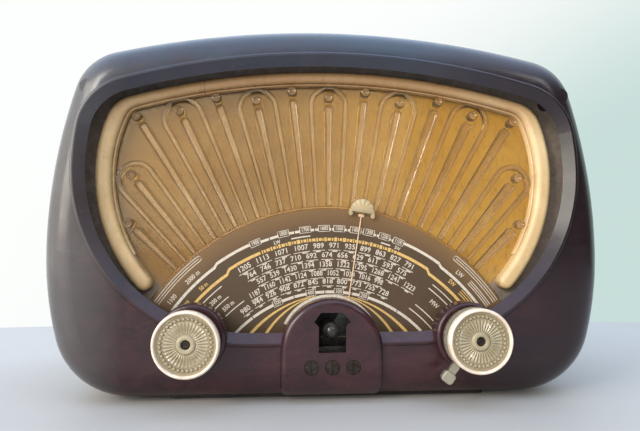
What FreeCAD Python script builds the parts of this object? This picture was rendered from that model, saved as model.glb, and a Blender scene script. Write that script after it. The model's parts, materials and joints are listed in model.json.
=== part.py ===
import FreeCAD, Part
import math
import os

# Table valve radio in a moulded bakelite cabinet, millimetres.
# X runs to the right seen from the front, the front faces -Y, Z is up from the table.
# The origin is the middle of the overall box, on the table.

# ---- driving dimensions: cabinet -------------------------------------------------
HALF_WIDTH = 192.0
CABINET_TOP = 256.0
CABINET_BOTTOM = 2.6
WIDEST_Z = 101.0
TOP_ARC_R = 640.0
UPPER_SIDE_R = 380.0
LOWER_SIDE_R = 230.0
TOP_CORNER_R = 38.0
BOTTOM_CORNER_R = 52.0
FRONT_ROUND_R = 22.0
WALL = 4.0
DRAFT = 5.0

# ---- depth stations along Y --------------------------------------------------------
KNOB_FRONT_Y = -105.0
LEVER_FRONT_Y = -92.5
BOSS_FRONT_Y = -83.0
DOME_RISE = 4.6
RIM_Y = -77.0
FACE_Y = -75.2
RIM_FOOT_Y = -69.0
WIDEST_Y = -47.0
BEZEL_FRONT_Y = -58.0
DIAL_FRONT_Y = -57.0
DIAL_BACK_Y = -55.0
GRILLE_FRONT_Y = -49.5
BAFFLE_FRONT_Y = -46.0
BAFFLE_BACK_Y = -42.0
REAR_EDGE_Y = 101.0
COVER_BACK_Y = 104.0
REAR_Y = 105.0

# ---- front opening, rim and bezel ----------------------------------------------------
OPENING_TOP = 225.0
OPENING_BOTTOM = 48.5
OPENING_HALF = 161.0
OPENING_MID_Z = 155.0
OPENING_TOP_R = 503.0
OPENING_CORNER_R = 30.0
OPENING_UPPER_R = 160.0
RIM_WIDTH = 11.0
RIM_CREST = 8.5
BEZEL_TOP = 228.4
BEZEL_HALF = 162.0
BEZEL_TOP_R = 507.0
BEZEL_CORNER_R = 24.0
BEZEL_UPPER_R = 110.0
BEZEL_LOWER_R = 122.0
BEZEL_WIDTH = 11.0
BEZEL_TOP_WIDTH = 7.8
BEZEL_END_DEG = -41.0

# ---- dial fan: every dial arc and grille rib is centred on this point ------------------
FAN_Z = -17.0
DIAL_R = 147.0
DIAL_LOW_Z = 38.0
RIB_PITCH_DEG = 6.5
RIB_FOOT_R = 149.6
STUD_R = 3.5
HAIRPIN_DROP = 4.5
HAIRPIN_BEND_WIDTH = 4.0
HAIRPIN_FOOT_WIDTH = 2.8
STUD_RADII = (227.0, 232.5, 230.0, 239.0, 240.0, 250.5, 219.0, 195.0)

# ---- controls ----------------------------------------------------------------------------
KNOB_X = 91.0
KNOB_Z = 44.0
BOSS_R = 22.5
KNOB_R = 20.5
KNOB_RING_WIDTH = 2.2
SHAFT_R = 3.0
FIT = 0.05
LEVER_DISC_R = 20.3
LEVER_LENGTH = 30.0
LEVER_ARM_WIDTH = 5.0
LEVER_PAD_WIDTH = 8.4
LEVER_REST_DEG = 36.5
LEVER_TUBE_R = 4.5
POINTER_DEG = 9.0
POINTER_TRAVEL_DEG = 70.0
DRUM_R = 40.0
GUIDE_R = DRUM_R * 180.0 / POINTER_TRAVEL_DEG
CORD_R = 0.4
CORD_KNUCKLE_R = 0.46
CORD_Y = -51.0
DRUM_X = -30.0
DRUM_Z = 72.0
DRUM_FRONT_Y = -40.0
IDLER_R = 5.0
IDLER_X = -77.4
IDLER_Z = 41.0
CORD_GAP = 0.9

# ---- dome over the lamp window -------------------------------------------------------------
DOME_R = 34.0
DOME_Z = 35.0
WINDOW_WIDTH = 18.0
WINDOW_LOW_Z = 34.0
WINDOW_HIGH_Z = 60.0
LAMP_Z = 47.0
SCREW_PITCH = 13.7
SCREW_Z = 24.5

# ---- inside --------------------------------------------------------------------------------
CHASSIS_TOP = 50.0
CHASSIS_LOW = 15.0
CHASSIS_HALF = 145.0
CHASSIS_FRONT_Y = -22.0
CHASSIS_BACK_Y = 88.0
SHEET = 1.5
SPEAKER_Z = 172.0
SPEAKER_R = 60.0
SPEAKER_HOLE_R = 52.0
BASE_HALF = 110.0
BASE_FRONT_Y = -54.0
BASE_BACK_Y = 94.0
BOLT_HEAD_TOP_Z = 1.6

V = FreeCAD.Vector
ALONG_Y = V(0, 1, 0)


# ---- shapes shared by the sub-parts ----------------------------------------------------------
def rod(x, z, radius, y_front, y_back):
    """Round bar along Y."""
    return Part.makeCylinder(radius, y_back - y_front, V(x, y_front, z), ALONG_Y)


def tube(x, z, outer, inner, y_front, y_back):
    """Round tube along Y."""
    return rod(x, z, outer, y_front, y_back).cut(rod(x, z, inner, y_front - 1, y_back + 1))


def block(x_low, x_high, y_low, y_high, z_low, z_high):
    return Part.makeBox(x_high - x_low, y_high - y_low, z_high - z_low, V(x_low, y_low, z_low))


def post(x, y, radius, z_low, z_high):
    """Round bar standing along Z."""
    return Part.makeCylinder(radius, z_high - z_low, V(x, y, z_low))


def joined(shapes):
    first, rest = shapes[0], shapes[1:]
    return first.fuse(rest).removeSplitter() if rest else first


def polar(angle_deg, radius, y):
    """Point on the dial fan: the angle is from straight up, positive to the right."""
    turn = math.radians(angle_deg)
    return V(radius * math.sin(turn), y, FAN_Z + radius * math.cos(turn))


def fan_turned(shape, angle_deg):
    """Copy of a shape turned about the fan's centre, positive to the right."""
    moved = shape.copy()
    moved.rotate(V(0, 0, FAN_Z), ALONG_Y, angle_deg)
    return moved


def fan_sector(inner, outer, half_deg, y_front, y_back):
    """Arc-shaped plate of the dial fan, from -half_deg to +half_deg."""
    bow = [polar(angle, outer, y_front) for angle in (-half_deg, 0, half_deg)]
    hollow = [polar(angle, inner, y_front) for angle in (half_deg, 0, -half_deg)]
    edges = [Part.Arc(*bow).toShape(), Part.makeLine(bow[2], hollow[0]),
             Part.Arc(*hollow).toShape(), Part.makeLine(hollow[2], bow[0])]
    return Part.Face(Part.Wire(edges)).extrude(V(0, y_back - y_front, 0))


def nested_circle(first, second, radius):
    """Circle of the given radius inside two others, touching both, on the +X side."""
    span_x = second[0] - first[0]
    span_z = second[1] - first[1]
    span = math.hypot(span_x, span_z)
    reach_first = first[2] - radius
    reach_second = second[2] - radius
    along = (reach_first ** 2 - reach_second ** 2 + span ** 2) / (2 * span)
    across = math.sqrt(reach_first ** 2 - along ** 2)
    unit_x = span_x / span
    unit_z = span_z / span
    middle_x = first[0] + unit_x * along
    middle_z = first[1] + unit_z * along
    choices = [(middle_x + side * unit_z * across, middle_z - side * unit_x * across, radius)
               for side in (1, -1)]
    return max(choices)


def touch_point(first, second):
    """Where two circles, one inside the other, touch."""
    small, big = sorted((first, second), key=lambda circle: circle[2])
    reach = big[2] / math.hypot(small[0] - big[0], small[1] - big[1])
    return big[0] + (small[0] - big[0]) * reach, big[1] + (small[1] - big[1]) * reach


def arc_edge(circle, start, end, y):
    """Short arc of a circle between two of its points."""
    out_x = start[0] + end[0] - 2 * circle[0]
    out_z = start[1] + end[1] - 2 * circle[1]
    reach = circle[2] / math.hypot(out_x, out_z)
    middle = V(circle[0] + out_x * reach, y, circle[1] + out_z * reach)
    return Part.Arc(V(start[0], y, start[1]), middle, V(end[0], y, end[1])).toShape()


def outline(circles, grow, y):
    """Closed symmetrical wire of touching arcs with a flat bottom, grown outward."""
    rings = [(x, z, radius + grow) for x, z, radius in circles]
    marks = [touch_point(a, b) for a, b in zip(rings, rings[1:])]
    marks.append((rings[-1][0], rings[-1][1] - rings[-1][2]))
    mirrored = [(-x, z) for x, z in marks]
    edges = [arc_edge(rings[0], mirrored[0], marks[0], y)]
    for ring, start, end in zip(rings[1:], marks, marks[1:]):
        edges.append(arc_edge(ring, start, end, y))
    low_right = V(marks[-1][0], y, marks[-1][1])
    low_left = V(mirrored[-1][0], y, mirrored[-1][1])
    edges.append(Part.makeLine(low_right, low_left))
    for index in range(len(rings) - 1, 0, -1):
        x, z, radius = rings[index]
        edges.append(arc_edge((-x, z, radius), mirrored[index], mirrored[index - 1], y))
    return Part.Wire(edges)


def cabinet_circles():
    top = (0.0, CABINET_TOP - TOP_ARC_R, TOP_ARC_R)
    upper = (HALF_WIDTH - UPPER_SIDE_R, WIDEST_Z, UPPER_SIDE_R)
    lower = (HALF_WIDTH - LOWER_SIDE_R, WIDEST_Z, LOWER_SIDE_R)
    corner = nested_circle(top, upper, TOP_CORNER_R)
    foot_z = CABINET_BOTTOM + BOTTOM_CORNER_R
    reach = math.sqrt((LOWER_SIDE_R - BOTTOM_CORNER_R) ** 2 - (WIDEST_Z - foot_z) ** 2)
    foot = (lower[0] + reach, foot_z, BOTTOM_CORNER_R)
    return [top, corner, upper, lower, foot]


def opening_circles():
    top = (0.0, OPENING_TOP - OPENING_TOP_R, OPENING_TOP_R)
    upper = (OPENING_HALF - OPENING_UPPER_R, OPENING_MID_Z, OPENING_UPPER_R)
    lower_r = OPENING_MID_Z - OPENING_BOTTOM
    lower = (OPENING_HALF - lower_r, OPENING_MID_Z, lower_r)
    return [top, nested_circle(top, upper, OPENING_CORNER_R), upper, lower]


def bezel_circles(rise):
    """Circles of the bezel's outline, its top arc moved up by rise."""
    top = (0.0, BEZEL_TOP + rise - BEZEL_TOP_R, BEZEL_TOP_R)
    upper = (BEZEL_HALF - BEZEL_UPPER_R, OPENING_MID_Z, BEZEL_UPPER_R)
    lower = (BEZEL_HALF - BEZEL_LOWER_R, OPENING_MID_Z, BEZEL_LOWER_R)
    return [top, nested_circle(top, upper, BEZEL_CORNER_R), upper, lower]


CABINET = cabinet_circles()
OPENING = opening_circles()
BEZEL = bezel_circles(0)
BEZEL_INSIDE = bezel_circles(BEZEL_WIDTH - BEZEL_TOP_WIDTH)


def prism(circles, grow, y_front, y_back):
    """Outline carried straight back along Y."""
    return Part.Face(outline(circles, grow, y_front)).extrude(V(0, y_back - y_front, 0))


def tapered(circles, grow_front, y_front, grow_back, y_back):
    """Outline that changes size evenly from front to back."""
    wires = [outline(circles, grow_front, y_front), outline(circles, grow_back, y_back)]
    return Part.makeLoft(wires, True, True)


def edges_at(shape, y):
    return [edge for edge in shape.Edges
            if all(abs(vertex.Y - y) < 0.01 for vertex in edge.Vertexes)]


def upright_edges(shape):
    return [edge for edge in shape.Edges
            if abs(edge.Vertexes[0].Z - edge.Vertexes[-1].Z) > 1]


def cap_edges(shape, x, z, radius, y):
    """Front edges lying on a circle of the given radius."""
    found = []
    for edge in edges_at(shape, y):
        curve = edge.Curve
        if isinstance(curve, Part.Circle) and abs(curve.Radius - radius) < 0.01:
            if abs(curve.Center.x - x) < 0.01 and abs(curve.Center.z - z) < 0.01:
                found.append(edge)
    return found


# ---- cabinet -------------------------------------------------------------------------------
def rounded_form(grow, y_front, round_r, y_back):
    """Cabinet-shaped solid with a rounded front edge and a slight taper to the back."""
    front = prism(CABINET, grow, y_front, WIDEST_Y)
    front = front.makeFillet(round_r, edges_at(front, y_front))
    taper = DRAFT * (y_back - WIDEST_Y) / (REAR_EDGE_Y - WIDEST_Y)
    return front.fuse(tapered(CABINET, grow, WIDEST_Y, grow - taper, y_back))


def cabinet_shell():
    outer = rounded_form(0, FACE_Y, FRONT_ROUND_R, REAR_EDGE_Y)
    inner = rounded_form(-WALL, FACE_Y + WALL, FRONT_ROUND_R - WALL, REAR_EDGE_Y + 1)
    return outer.cut(inner)


def front_rim():
    """Raised rounded rim round the opening, its inside sloping back to the edge."""
    ring = prism(OPENING, RIM_WIDTH, RIM_Y, FACE_Y + 1)
    ring = ring.makeFillet(1.7, edges_at(ring, RIM_Y))
    return ring


def rim_slope():
    """Cutter for the sloping inside of the rim, with the straight opening behind it."""
    slope = tapered(OPENING, RIM_CREST, RIM_Y, 0, RIM_FOOT_Y)
    ahead = prism(OPENING, RIM_CREST, RIM_Y - 10, RIM_Y)
    behind = prism(OPENING, 0, RIM_FOOT_Y, WIDEST_Y - 10)
    return slope.fuse([ahead, behind])


def dome_form(radius, rise, y_back):
    """Dome-topped housing that follows the cabinet's rounded front, standing proud of it."""
    stem = block(-radius, radius, FACE_Y - rise - 1, y_back, CABINET_BOTTOM, DOME_Z)
    head = rod(0, DOME_Z, radius, FACE_Y - rise - 1, y_back)
    follow = prism(CABINET, 0, FACE_Y - rise, WIDEST_Y)
    follow = follow.makeFillet(FRONT_ROUND_R, edges_at(follow, FACE_Y - rise))
    return stem.fuse(head).removeSplitter().common(follow)


def dome():
    form = dome_form(DOME_R, DOME_RISE, RIM_FOOT_Y + 5)
    front_y = FACE_Y - DOME_RISE
    edges = cap_edges(form, 0, DOME_Z, DOME_R, front_y)
    for edge in form.Edges:
        if all(abs(abs(v.X) - DOME_R) < 0.01 and v.Y < RIM_FOOT_Y for v in edge.Vertexes):
            if edge.Vertexes[0].Y < front_y + 0.01 and edge.Vertexes[-1].Y < front_y + 0.01:
                edges.append(edge)
    unique = {edge.hashCode(): edge for edge in edges}
    return form.makeFillet(4.2, list(unique.values()))


def dome_hollow():
    return dome_form(DOME_R - WALL, DOME_RISE - WALL, RIM_FOOT_Y + 6)


def window_cut():
    """Lamp window with flared upper corners."""
    half = WINDOW_WIDTH / 2
    ear = 3.0
    corners = [(-half, WINDOW_LOW_Z), (half, WINDOW_LOW_Z), (half, WINDOW_HIGH_Z - 9),
               (half + ear, WINDOW_HIGH_Z - 6), (half - 1.5, WINDOW_HIGH_Z),
               (-half + 1.5, WINDOW_HIGH_Z), (-half - ear, WINDOW_HIGH_Z - 6),
               (-half, WINDOW_HIGH_Z - 9)]
    points = [V(x, FACE_Y - 20, z) for x, z in corners]
    return Part.Face(Part.makePolygon(points + points[:1])).extrude(V(0, 30, 0))


def knob_boss(side):
    boss = rod(side * KNOB_X, KNOB_Z, BOSS_R, BOSS_FRONT_Y, RIM_FOOT_Y)
    return boss.makeFillet(2.5, edges_at(boss, BOSS_FRONT_Y))


BOLTS = [(-95, -12), (95, -12), (-95, 76), (95, 76)]
BAFFLE_POSTS = [(-163, 210), (163, 210), (-171, 98), (171, 98)]


def cabinet():
    shell = cabinet_shell().fuse(front_rim()).cut(rim_slope())
    proud = [dome(), knob_boss(-1), knob_boss(1)]
    for x, z in BAFFLE_POSTS:
        proud.append(rod(x, z, 5, FACE_Y + WALL - 1, BAFFLE_FRONT_Y))
    body = shell.fuse(proud)
    openings = [dome_hollow(), window_cut()]
    openings.append(rod(-KNOB_X, KNOB_Z, 5.6, BOSS_FRONT_Y - 1, RIM_FOOT_Y + 1))
    openings.append(rod(KNOB_X, KNOB_Z, 5.2, BOSS_FRONT_Y - 1, RIM_FOOT_Y + 1))
    for x, z in BAFFLE_POSTS:
        openings.append(rod(x, z, 1.5, BAFFLE_FRONT_Y - 12, BAFFLE_FRONT_Y + 1))
    for x, y in BOLTS:
        openings.append(post(x, y, 2, 0, 20))
    for index in (-1, 0, 1):
        openings.append(rod(index * SCREW_PITCH, SCREW_Z, 4.9, FACE_Y - 20, FACE_Y - DOME_RISE + 2.2))
        openings.append(rod(index * SCREW_PITCH, SCREW_Z, 2.0, FACE_Y - 20, FACE_Y + 10))
    return body.cut(openings).removeSplitter()


def dome_screws():
    """Three slotted screws sunk in the dome's lower face."""
    head_y = FACE_Y - DOME_RISE + 0.6
    screws = []
    for index in (-1, 0, 1):
        x = index * SCREW_PITCH
        screw = rod(x, SCREW_Z, 4.6, head_y, FACE_Y - DOME_RISE + 2.2)
        screw = screw.fuse(rod(x, SCREW_Z, 2.0, head_y + 1, FACE_Y + WALL + 6))
        slot = block(x - 0.6, x + 0.6, head_y - 1, head_y + 0.8, SCREW_Z - 5, SCREW_Z + 5)
        screws.append(screw.cut(slot))
    return Part.makeCompound(screws)


def base_plate():
    """Dark board under the cabinet that the set stands on."""
    plate = block(-BASE_HALF, BASE_HALF, BASE_FRONT_Y, BASE_BACK_Y, 0, CABINET_BOTTOM + 2 * DRAFT)
    plate = plate.makeFillet(5, upright_edges(plate))
    plate = plate.cut(rounded_form(0, FACE_Y, FRONT_ROUND_R, REAR_EDGE_Y))
    holes = []
    for x, y in BOLTS:
        holes.append(post(x, y, 2, -1, 30))
        holes.append(post(x, y, 4.4, -1, BOLT_HEAD_TOP_Z))
    return plate.cut(holes)


def base_bolts():
    """Four bolts from under the base through the cabinet floor into the chassis feet."""
    bolts = []
    for x, y in BOLTS:
        head = post(x, y, 4, BOLT_HEAD_TOP_Z - 1.2, BOLT_HEAD_TOP_Z)
        bolts.append(post(x, y, 2, BOLT_HEAD_TOP_Z - 0.5, CHASSIS_LOW + 8).fuse(head))
    return Part.makeCompound(bolts)


# ---- bezel, grille, cloth and baffle -----------------------------------------------------------
def bezel_frame():
    """Rounded cream frame, open at the bottom, with rounded ends."""
    ring = prism(BEZEL, 0, BEZEL_FRONT_Y, BAFFLE_FRONT_Y)
    ring = ring.cut(prism(BEZEL_INSIDE, -BEZEL_WIDTH, BEZEL_FRONT_Y - 1, BAFFLE_FRONT_Y + 1))
    centre_x, centre_z, radius = BEZEL[-1]
    end = math.radians(BEZEL_END_DEG)
    middle_r = radius - BEZEL_WIDTH / 2
    end_x = centre_x + middle_r * math.cos(end)
    end_z = centre_z + middle_r * math.sin(end)
    reach = 60
    away_x = math.sin(end) * reach
    away_z = -math.cos(end) * reach
    out_x = math.cos(end) * reach
    out_z = math.sin(end) * reach
    ends = []
    cutters = [block(-90, 90, BEZEL_FRONT_Y - 1, BAFFLE_FRONT_Y + 1, 0, 90)]
    for side in (-1, 1):
        corners = [(end_x + out_x, end_z + out_z), (end_x - out_x, end_z - out_z),
                   (end_x - out_x + away_x, end_z - out_z + away_z),
                   (end_x + out_x + away_x, end_z + out_z + away_z)]
        points = [V(side * x, BEZEL_FRONT_Y - 1, z) for x, z in corners]
        face = Part.Face(Part.makePolygon(points + points[:1]))
        cutters.append(face.extrude(V(0, BAFFLE_FRONT_Y - BEZEL_FRONT_Y + 2, 0)))
        ends.append(rod(side * end_x, end_z, BEZEL_WIDTH / 2, BEZEL_FRONT_Y, BAFFLE_FRONT_Y))
    frame = ring.cut(cutters).fuse(ends).removeSplitter()
    return frame.makeFillet(3.7, edges_at(frame, BEZEL_FRONT_Y))


def cloth_area(inset, lowest_r, y_front, y_back):
    """Everything inside the bezel and above an arc of the dial fan."""
    area = prism(BEZEL_INSIDE, -BEZEL_WIDTH - inset, y_front, y_back)
    centre = rod(0, FAN_Z, lowest_r, y_front - 1, y_back + 1)
    low = block(-200, 200, y_front - 1, y_back + 1, 0, 60)
    return area.cut([centre, low])


def radial_rib(angle_deg, foot_r, head_r, foot_width, head_width):
    start = polar(angle_deg, foot_r, GRILLE_FRONT_Y)
    end = polar(angle_deg, head_r, GRILLE_FRONT_Y)
    way = end.sub(start)
    return Part.makeCone(foot_width / 2, head_width / 2, way.Length, start, way)


def stud(angle_deg, radius):
    place = polar(angle_deg, radius, 0)
    peg = rod(place.x, place.z, STUD_R, BEZEL_FRONT_Y + 1, GRILLE_FRONT_Y)
    return peg.makeFillet(1.8, edges_at(peg, BEZEL_FRONT_Y + 1))


def hairpin(angle_deg, radius):
    """Loop rib round a stud, its bend centred a little below the stud."""
    half_pitch = RIB_PITCH_DEG / 2
    middle_r = radius - HAIRPIN_DROP
    reach = middle_r * math.cos(math.radians(half_pitch))
    bend_r = middle_r * math.sin(math.radians(half_pitch))
    centre = polar(angle_deg, middle_r, GRILLE_FRONT_Y)
    bend = Part.makeTorus(bend_r, HAIRPIN_BEND_WIDTH / 2, centre, ALONG_Y)
    half = Part.makeBox(6 * bend_r, 8, 3 * bend_r, V(-3 * bend_r, GRILLE_FRONT_Y - 4, FAN_Z + reach))
    bend = bend.common(fan_turned(half, angle_deg))
    legs = []
    for side in (-1, 1):
        leg_angle = angle_deg + side * half_pitch
        legs.append(radial_rib(leg_angle, RIB_FOOT_R, reach, HAIRPIN_FOOT_WIDTH, HAIRPIN_BEND_WIDTH))
    return [bend] + legs


def grille_moulding():
    """Clear moulding: a thin plate with fan ribs, studs and hairpin loops."""
    plate = cloth_area(0.4, 138, GRILLE_FRONT_Y, GRILLE_FRONT_Y + 1.5)
    proud = []
    for index, radius in enumerate(STUD_RADII):
        for side in ((1,) if index == 0 else (-1, 1)):
            angle = side * index * RIB_PITCH_DEG
            proud.append(stud(angle, radius))
            proud.append(radial_rib(angle, RIB_FOOT_R, radius - 6.5, 4.0, 6.6))
            if index % 2 == 0:
                proud.extend(hairpin(angle, radius))
    front = prism(BEZEL_INSIDE, -BEZEL_WIDTH - 0.4, BEZEL_FRONT_Y, GRILLE_FRONT_Y + 1)
    ribs = Part.makeCompound(proud).common(front)
    return plate.fuse(ribs.Solids)


def speaker_cloth():
    return cloth_area(0.4, 134, BAFFLE_FRONT_Y - 1.2, BAFFLE_FRONT_Y - 0.4)


def baffle_board():
    """Pressed board behind the bezel, cut away behind the dial and for the speaker."""
    board = prism(CABINET, -WALL - 1, BAFFLE_FRONT_Y, BAFFLE_BACK_Y)
    cuts = [rod(0, FAN_Z, 128, BAFFLE_FRONT_Y - 1, BAFFLE_BACK_Y + 1),
            block(-200, 200, BAFFLE_FRONT_Y - 1, BAFFLE_BACK_Y + 1, 0, 60),
            rod(0, SPEAKER_Z, SPEAKER_HOLE_R, BAFFLE_FRONT_Y - 1, BAFFLE_BACK_Y + 1)]
    for x, z in BAFFLE_POSTS:
        cuts.append(rod(x, z, 1.8, BAFFLE_FRONT_Y - 1, BAFFLE_BACK_Y + 1))
    return board.cut(cuts)


def baffle_screws():
    screws = []
    for x, z in BAFFLE_POSTS:
        shank = rod(x, z, 1.5, BAFFLE_FRONT_Y - 10, BAFFLE_BACK_Y)
        screws.append(shank.fuse(rod(x, z, 3.5, BAFFLE_BACK_Y, BAFFLE_BACK_Y + 2)))
    return Part.makeCompound(screws)


# ---- dial and its mechanism ------------------------------------------------------------------
def dial_plate():
    """Printed plate under the arc of the fan, with gaps for the lamp and both shafts."""
    plate = rod(0, FAN_Z, DIAL_R, DIAL_FRONT_Y, DIAL_BACK_Y)
    low = block(-200, 200, DIAL_FRONT_Y - 1, DIAL_BACK_Y + 1, FAN_Z - DIAL_R - 1, DIAL_LOW_Z)
    lamp = block(-16, 16, DIAL_FRONT_Y - 1, DIAL_BACK_Y + 1, DIAL_LOW_Z - 1, 62)
    shafts = [rod(side * KNOB_X, KNOB_Z, 8, DIAL_FRONT_Y - 1, DIAL_BACK_Y + 1) for side in (-1, 1)]
    return plate.cut([low, lamp] + shafts)


def dial_bracket():
    """Sheet-metal stand behind the dial: it holds the dial, the idler and the tuning shaft."""
    back = DIAL_BACK_Y + SHEET
    low = CHASSIS_LOW + 2
    plate = block(-118, 118, DIAL_BACK_Y, back, low, 60)
    plate = plate.fuse(rod(0, FAN_Z, 97, DIAL_BACK_Y, back))
    plate = plate.cut(block(-200, 200, DIAL_BACK_Y - 1, back + 1, -200, low))
    plate = plate.fuse(block(-118, 118, DIAL_BACK_Y, CHASSIS_FRONT_Y, low, low + SHEET))
    cuts = [block(-16, 16, DIAL_BACK_Y - 1, back + 1, 34, 62)]
    cuts.append(rod(-KNOB_X, KNOB_Z, 8, DIAL_BACK_Y - 1, back + 1))
    cuts.append(rod(KNOB_X, KNOB_Z, SHAFT_R + FIT, DIAL_BACK_Y - 1, back + 1))
    plate = plate.cut(cuts)
    return plate.fuse(rod(IDLER_X, IDLER_Z, 1.5, back, back + 5)).removeSplitter()


def cord_guide():
    """Arc that the drive cord runs over, just behind the dial."""
    back = DIAL_BACK_Y + SHEET
    return fan_sector(94, GUIDE_R - 0.6, 47, back, back + 4)


def cord_idler():
    """Grooved pulley on a pin."""
    front = DIAL_BACK_Y + SHEET + 0.5
    wheel = rod(IDLER_X, IDLER_Z, IDLER_R + 1, front, front + 4)
    groove = tube(IDLER_X, IDLER_Z, IDLER_R + 2, IDLER_R, front + 1.2, front + 2.8)
    return wheel.cut([groove, rod(IDLER_X, IDLER_Z, 1.5 + FIT, front - 1, front + 5)])


def cord_bend(x, z, radius, first_deg, last_deg):
    """Places of the cord as it turns round a wheel, in even steps from above, clockwise."""
    steps = 6
    places = []
    for index in range(steps + 1):
        turn = math.radians(first_deg + (last_deg - first_deg) * index / steps)
        places.append(V(x + radius * math.sin(turn), CORD_Y, z + radius * math.cos(turn)))
    return places


def drive_cord():
    """Cord: from the drum round the idler, over the guide, round the spindle, to the drum."""
    half_deg = 46.0
    ring = Part.makeTorus(GUIDE_R, CORD_R, V(0, CORD_Y, FAN_Z), ALONG_Y)
    wedge = fan_sector(GUIDE_R - 5, GUIDE_R + 5, half_deg, CORD_Y - 2, CORD_Y + 2)
    drum_y = DRUM_FRONT_Y + 2.5
    drum_reach = DRUM_R + 1.5 + CORD_GAP
    left = [polar(-half_deg, GUIDE_R, CORD_Y)]
    left += cord_bend(IDLER_X, IDLER_Z, IDLER_R + 1 + CORD_GAP, -half_deg, -180)
    left.append(V(DRUM_X - 0.6 * drum_reach, drum_y, DRUM_Z - 0.8 * drum_reach))
    right = [polar(half_deg, GUIDE_R, CORD_Y)]
    right += cord_bend(KNOB_X, KNOB_Z, SHAFT_R + CORD_GAP, 0, 180)
    right.append(V(DRUM_X + 0.6 * drum_reach, drum_y, DRUM_Z - 0.8 * drum_reach))
    pieces = [ring.common(wedge)]
    for places in (left, right):
        for start, end in zip(places, places[1:]):
            way = end.sub(start)
            pieces.append(Part.makeCylinder(CORD_R, way.Length, start, way))
            pieces.append(Part.makeSphere(CORD_KNUCKLE_R, start))
    return pieces[0].fuse(pieces[1:])


def pointer_carriage():
    """Bent strip that hooks over the dial's edge and reaches down to the cord behind it."""
    hook_r = DIAL_R + 0.7
    front = DIAL_FRONT_Y - 1.6
    hook = fan_sector(hook_r, hook_r + 0.9, 3.0, front, DIAL_BACK_Y + 1.7)
    arm = fan_sector(GUIDE_R + 0.6, hook_r + 0.9, 1.6, DIAL_BACK_Y + 0.7, DIAL_BACK_Y + 1.7)
    clamp = fan_sector(GUIDE_R + 0.6, GUIDE_R + 3.5, 1.6, DIAL_BACK_Y + 1.5, CORD_Y + 1)
    lip = fan_sector(hook_r - 2.5, hook_r + 0.9, 3.0, front, front + 0.8)
    return fan_turned(joined([hook, arm, clamp, lip]), POINTER_DEG)


def pointer_shell():
    """Clear scalloped shell with two small feet, on the front of the carriage."""
    back = DIAL_FRONT_Y - 1.6
    shell = Part.makeCylinder(9, 2.4, V(0, back - 2.4, FAN_Z + DIAL_R + 0.5), ALONG_Y)
    shell = shell.makeFillet(1.4, edges_at(shell, back - 2.4))
    above = block(-12, 12, back - 3, back + 1, FAN_Z + DIAL_R - 1.2, FAN_Z + DIAL_R + 12)
    shell = shell.common(above)
    foot = rod(8, FAN_Z + DIAL_R - 2.6, 1.7, back - 2, back)
    other = rod(-8, FAN_Z + DIAL_R - 2.6, 1.7, back - 2, back)
    return fan_turned(joined([shell, foot, other]), POINTER_DEG)


def pointer_needle():
    """Fine bar in front of the dial, from the carriage down over the scales."""
    front = DIAL_FRONT_Y - 1.2
    top = FAN_Z + DIAL_R - 1.9
    bar = block(-0.35, 0.35, front, front + 0.6, FAN_Z + 86, top)
    foot = block(-2, 2, front + 0.4, front + 0.8, top - 2.0, top)
    return fan_turned(joined([bar, foot]), POINTER_DEG)


def drive_drum():
    """Large grooved wheel on the end of the tuning capacitor's shaft."""
    front = DRUM_FRONT_Y
    wheel = rod(DRUM_X, DRUM_Z, DRUM_R + 1.5, front, front + 5)
    wheel = wheel.cut(tube(DRUM_X, DRUM_Z, DRUM_R + 3, DRUM_R, front + 1.5, front + 3.5))
    hollow = tube(DRUM_X, DRUM_Z, DRUM_R - 4, 10, front - 1, front + 3)
    windows = []
    for index in range(4):
        turn = math.radians(45 + 90 * index)
        windows.append(rod(DRUM_X + 23 * math.cos(turn), DRUM_Z + 23 * math.sin(turn),
                           8, front, front + 6))
    hub = rod(DRUM_X, DRUM_Z, 7, front, front + 9)
    wheel = wheel.cut([hollow] + windows).fuse(hub)
    return wheel.cut(rod(DRUM_X, DRUM_Z, SHAFT_R, front - 1, front + 10)).removeSplitter()


GANG_PLATES = 5
GANG_PITCH = 6.0
GANG_Y = -4.0


def gang_rotor():
    """Shaft with half-round plates."""
    shapes = [rod(DRUM_X, DRUM_Z, SHAFT_R, DRUM_FRONT_Y + 1, 36)]
    for index in range(GANG_PLATES):
        y = GANG_Y + index * GANG_PITCH
        plate = rod(DRUM_X, DRUM_Z, 17, y, y + 1)
        plate = plate.common(block(DRUM_X - 20, DRUM_X + 20, y, y + 1, DRUM_Z, DRUM_Z + 20))
        shapes.append(plate)
    return joined(shapes)


def gang_stator():
    """Fixed plates that the rotor's plates pass between, tied by two bars."""
    shapes = []
    for index in range(GANG_PLATES + 1):
        y = GANG_Y - 3 + index * GANG_PITCH
        plate = block(DRUM_X - 20, DRUM_X + 20, y, y + 1, DRUM_Z + 4.5, DRUM_Z + 20)
        shapes.append(plate)
    for side in (-1, 1):
        bar = block(DRUM_X + side * 19 - 1, DRUM_X + side * 19 + 1, GANG_Y - 6,
                    GANG_Y + GANG_PLATES * GANG_PITCH + 2, DRUM_Z + 16, DRUM_Z + 19)
        shapes.append(bar)
    return joined(shapes)


def gang_frame():
    """U-shaped frame of the tuning capacitor, with bearings for its shaft."""
    front = GANG_Y - 8
    back = GANG_Y + GANG_PLATES * GANG_PITCH + 4
    low = CHASSIS_TOP
    frame = block(DRUM_X - 24, DRUM_X + 24, front, back, low, low + 2)
    for y in (front, back - 2):
        frame = frame.fuse(block(DRUM_X - 24, DRUM_X + 24, y, y + 2, low, DRUM_Z + 22))
    frame = frame.cut(rod(DRUM_X, DRUM_Z, SHAFT_R + FIT, front - 1, back + 1))
    return frame.removeSplitter()


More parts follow.
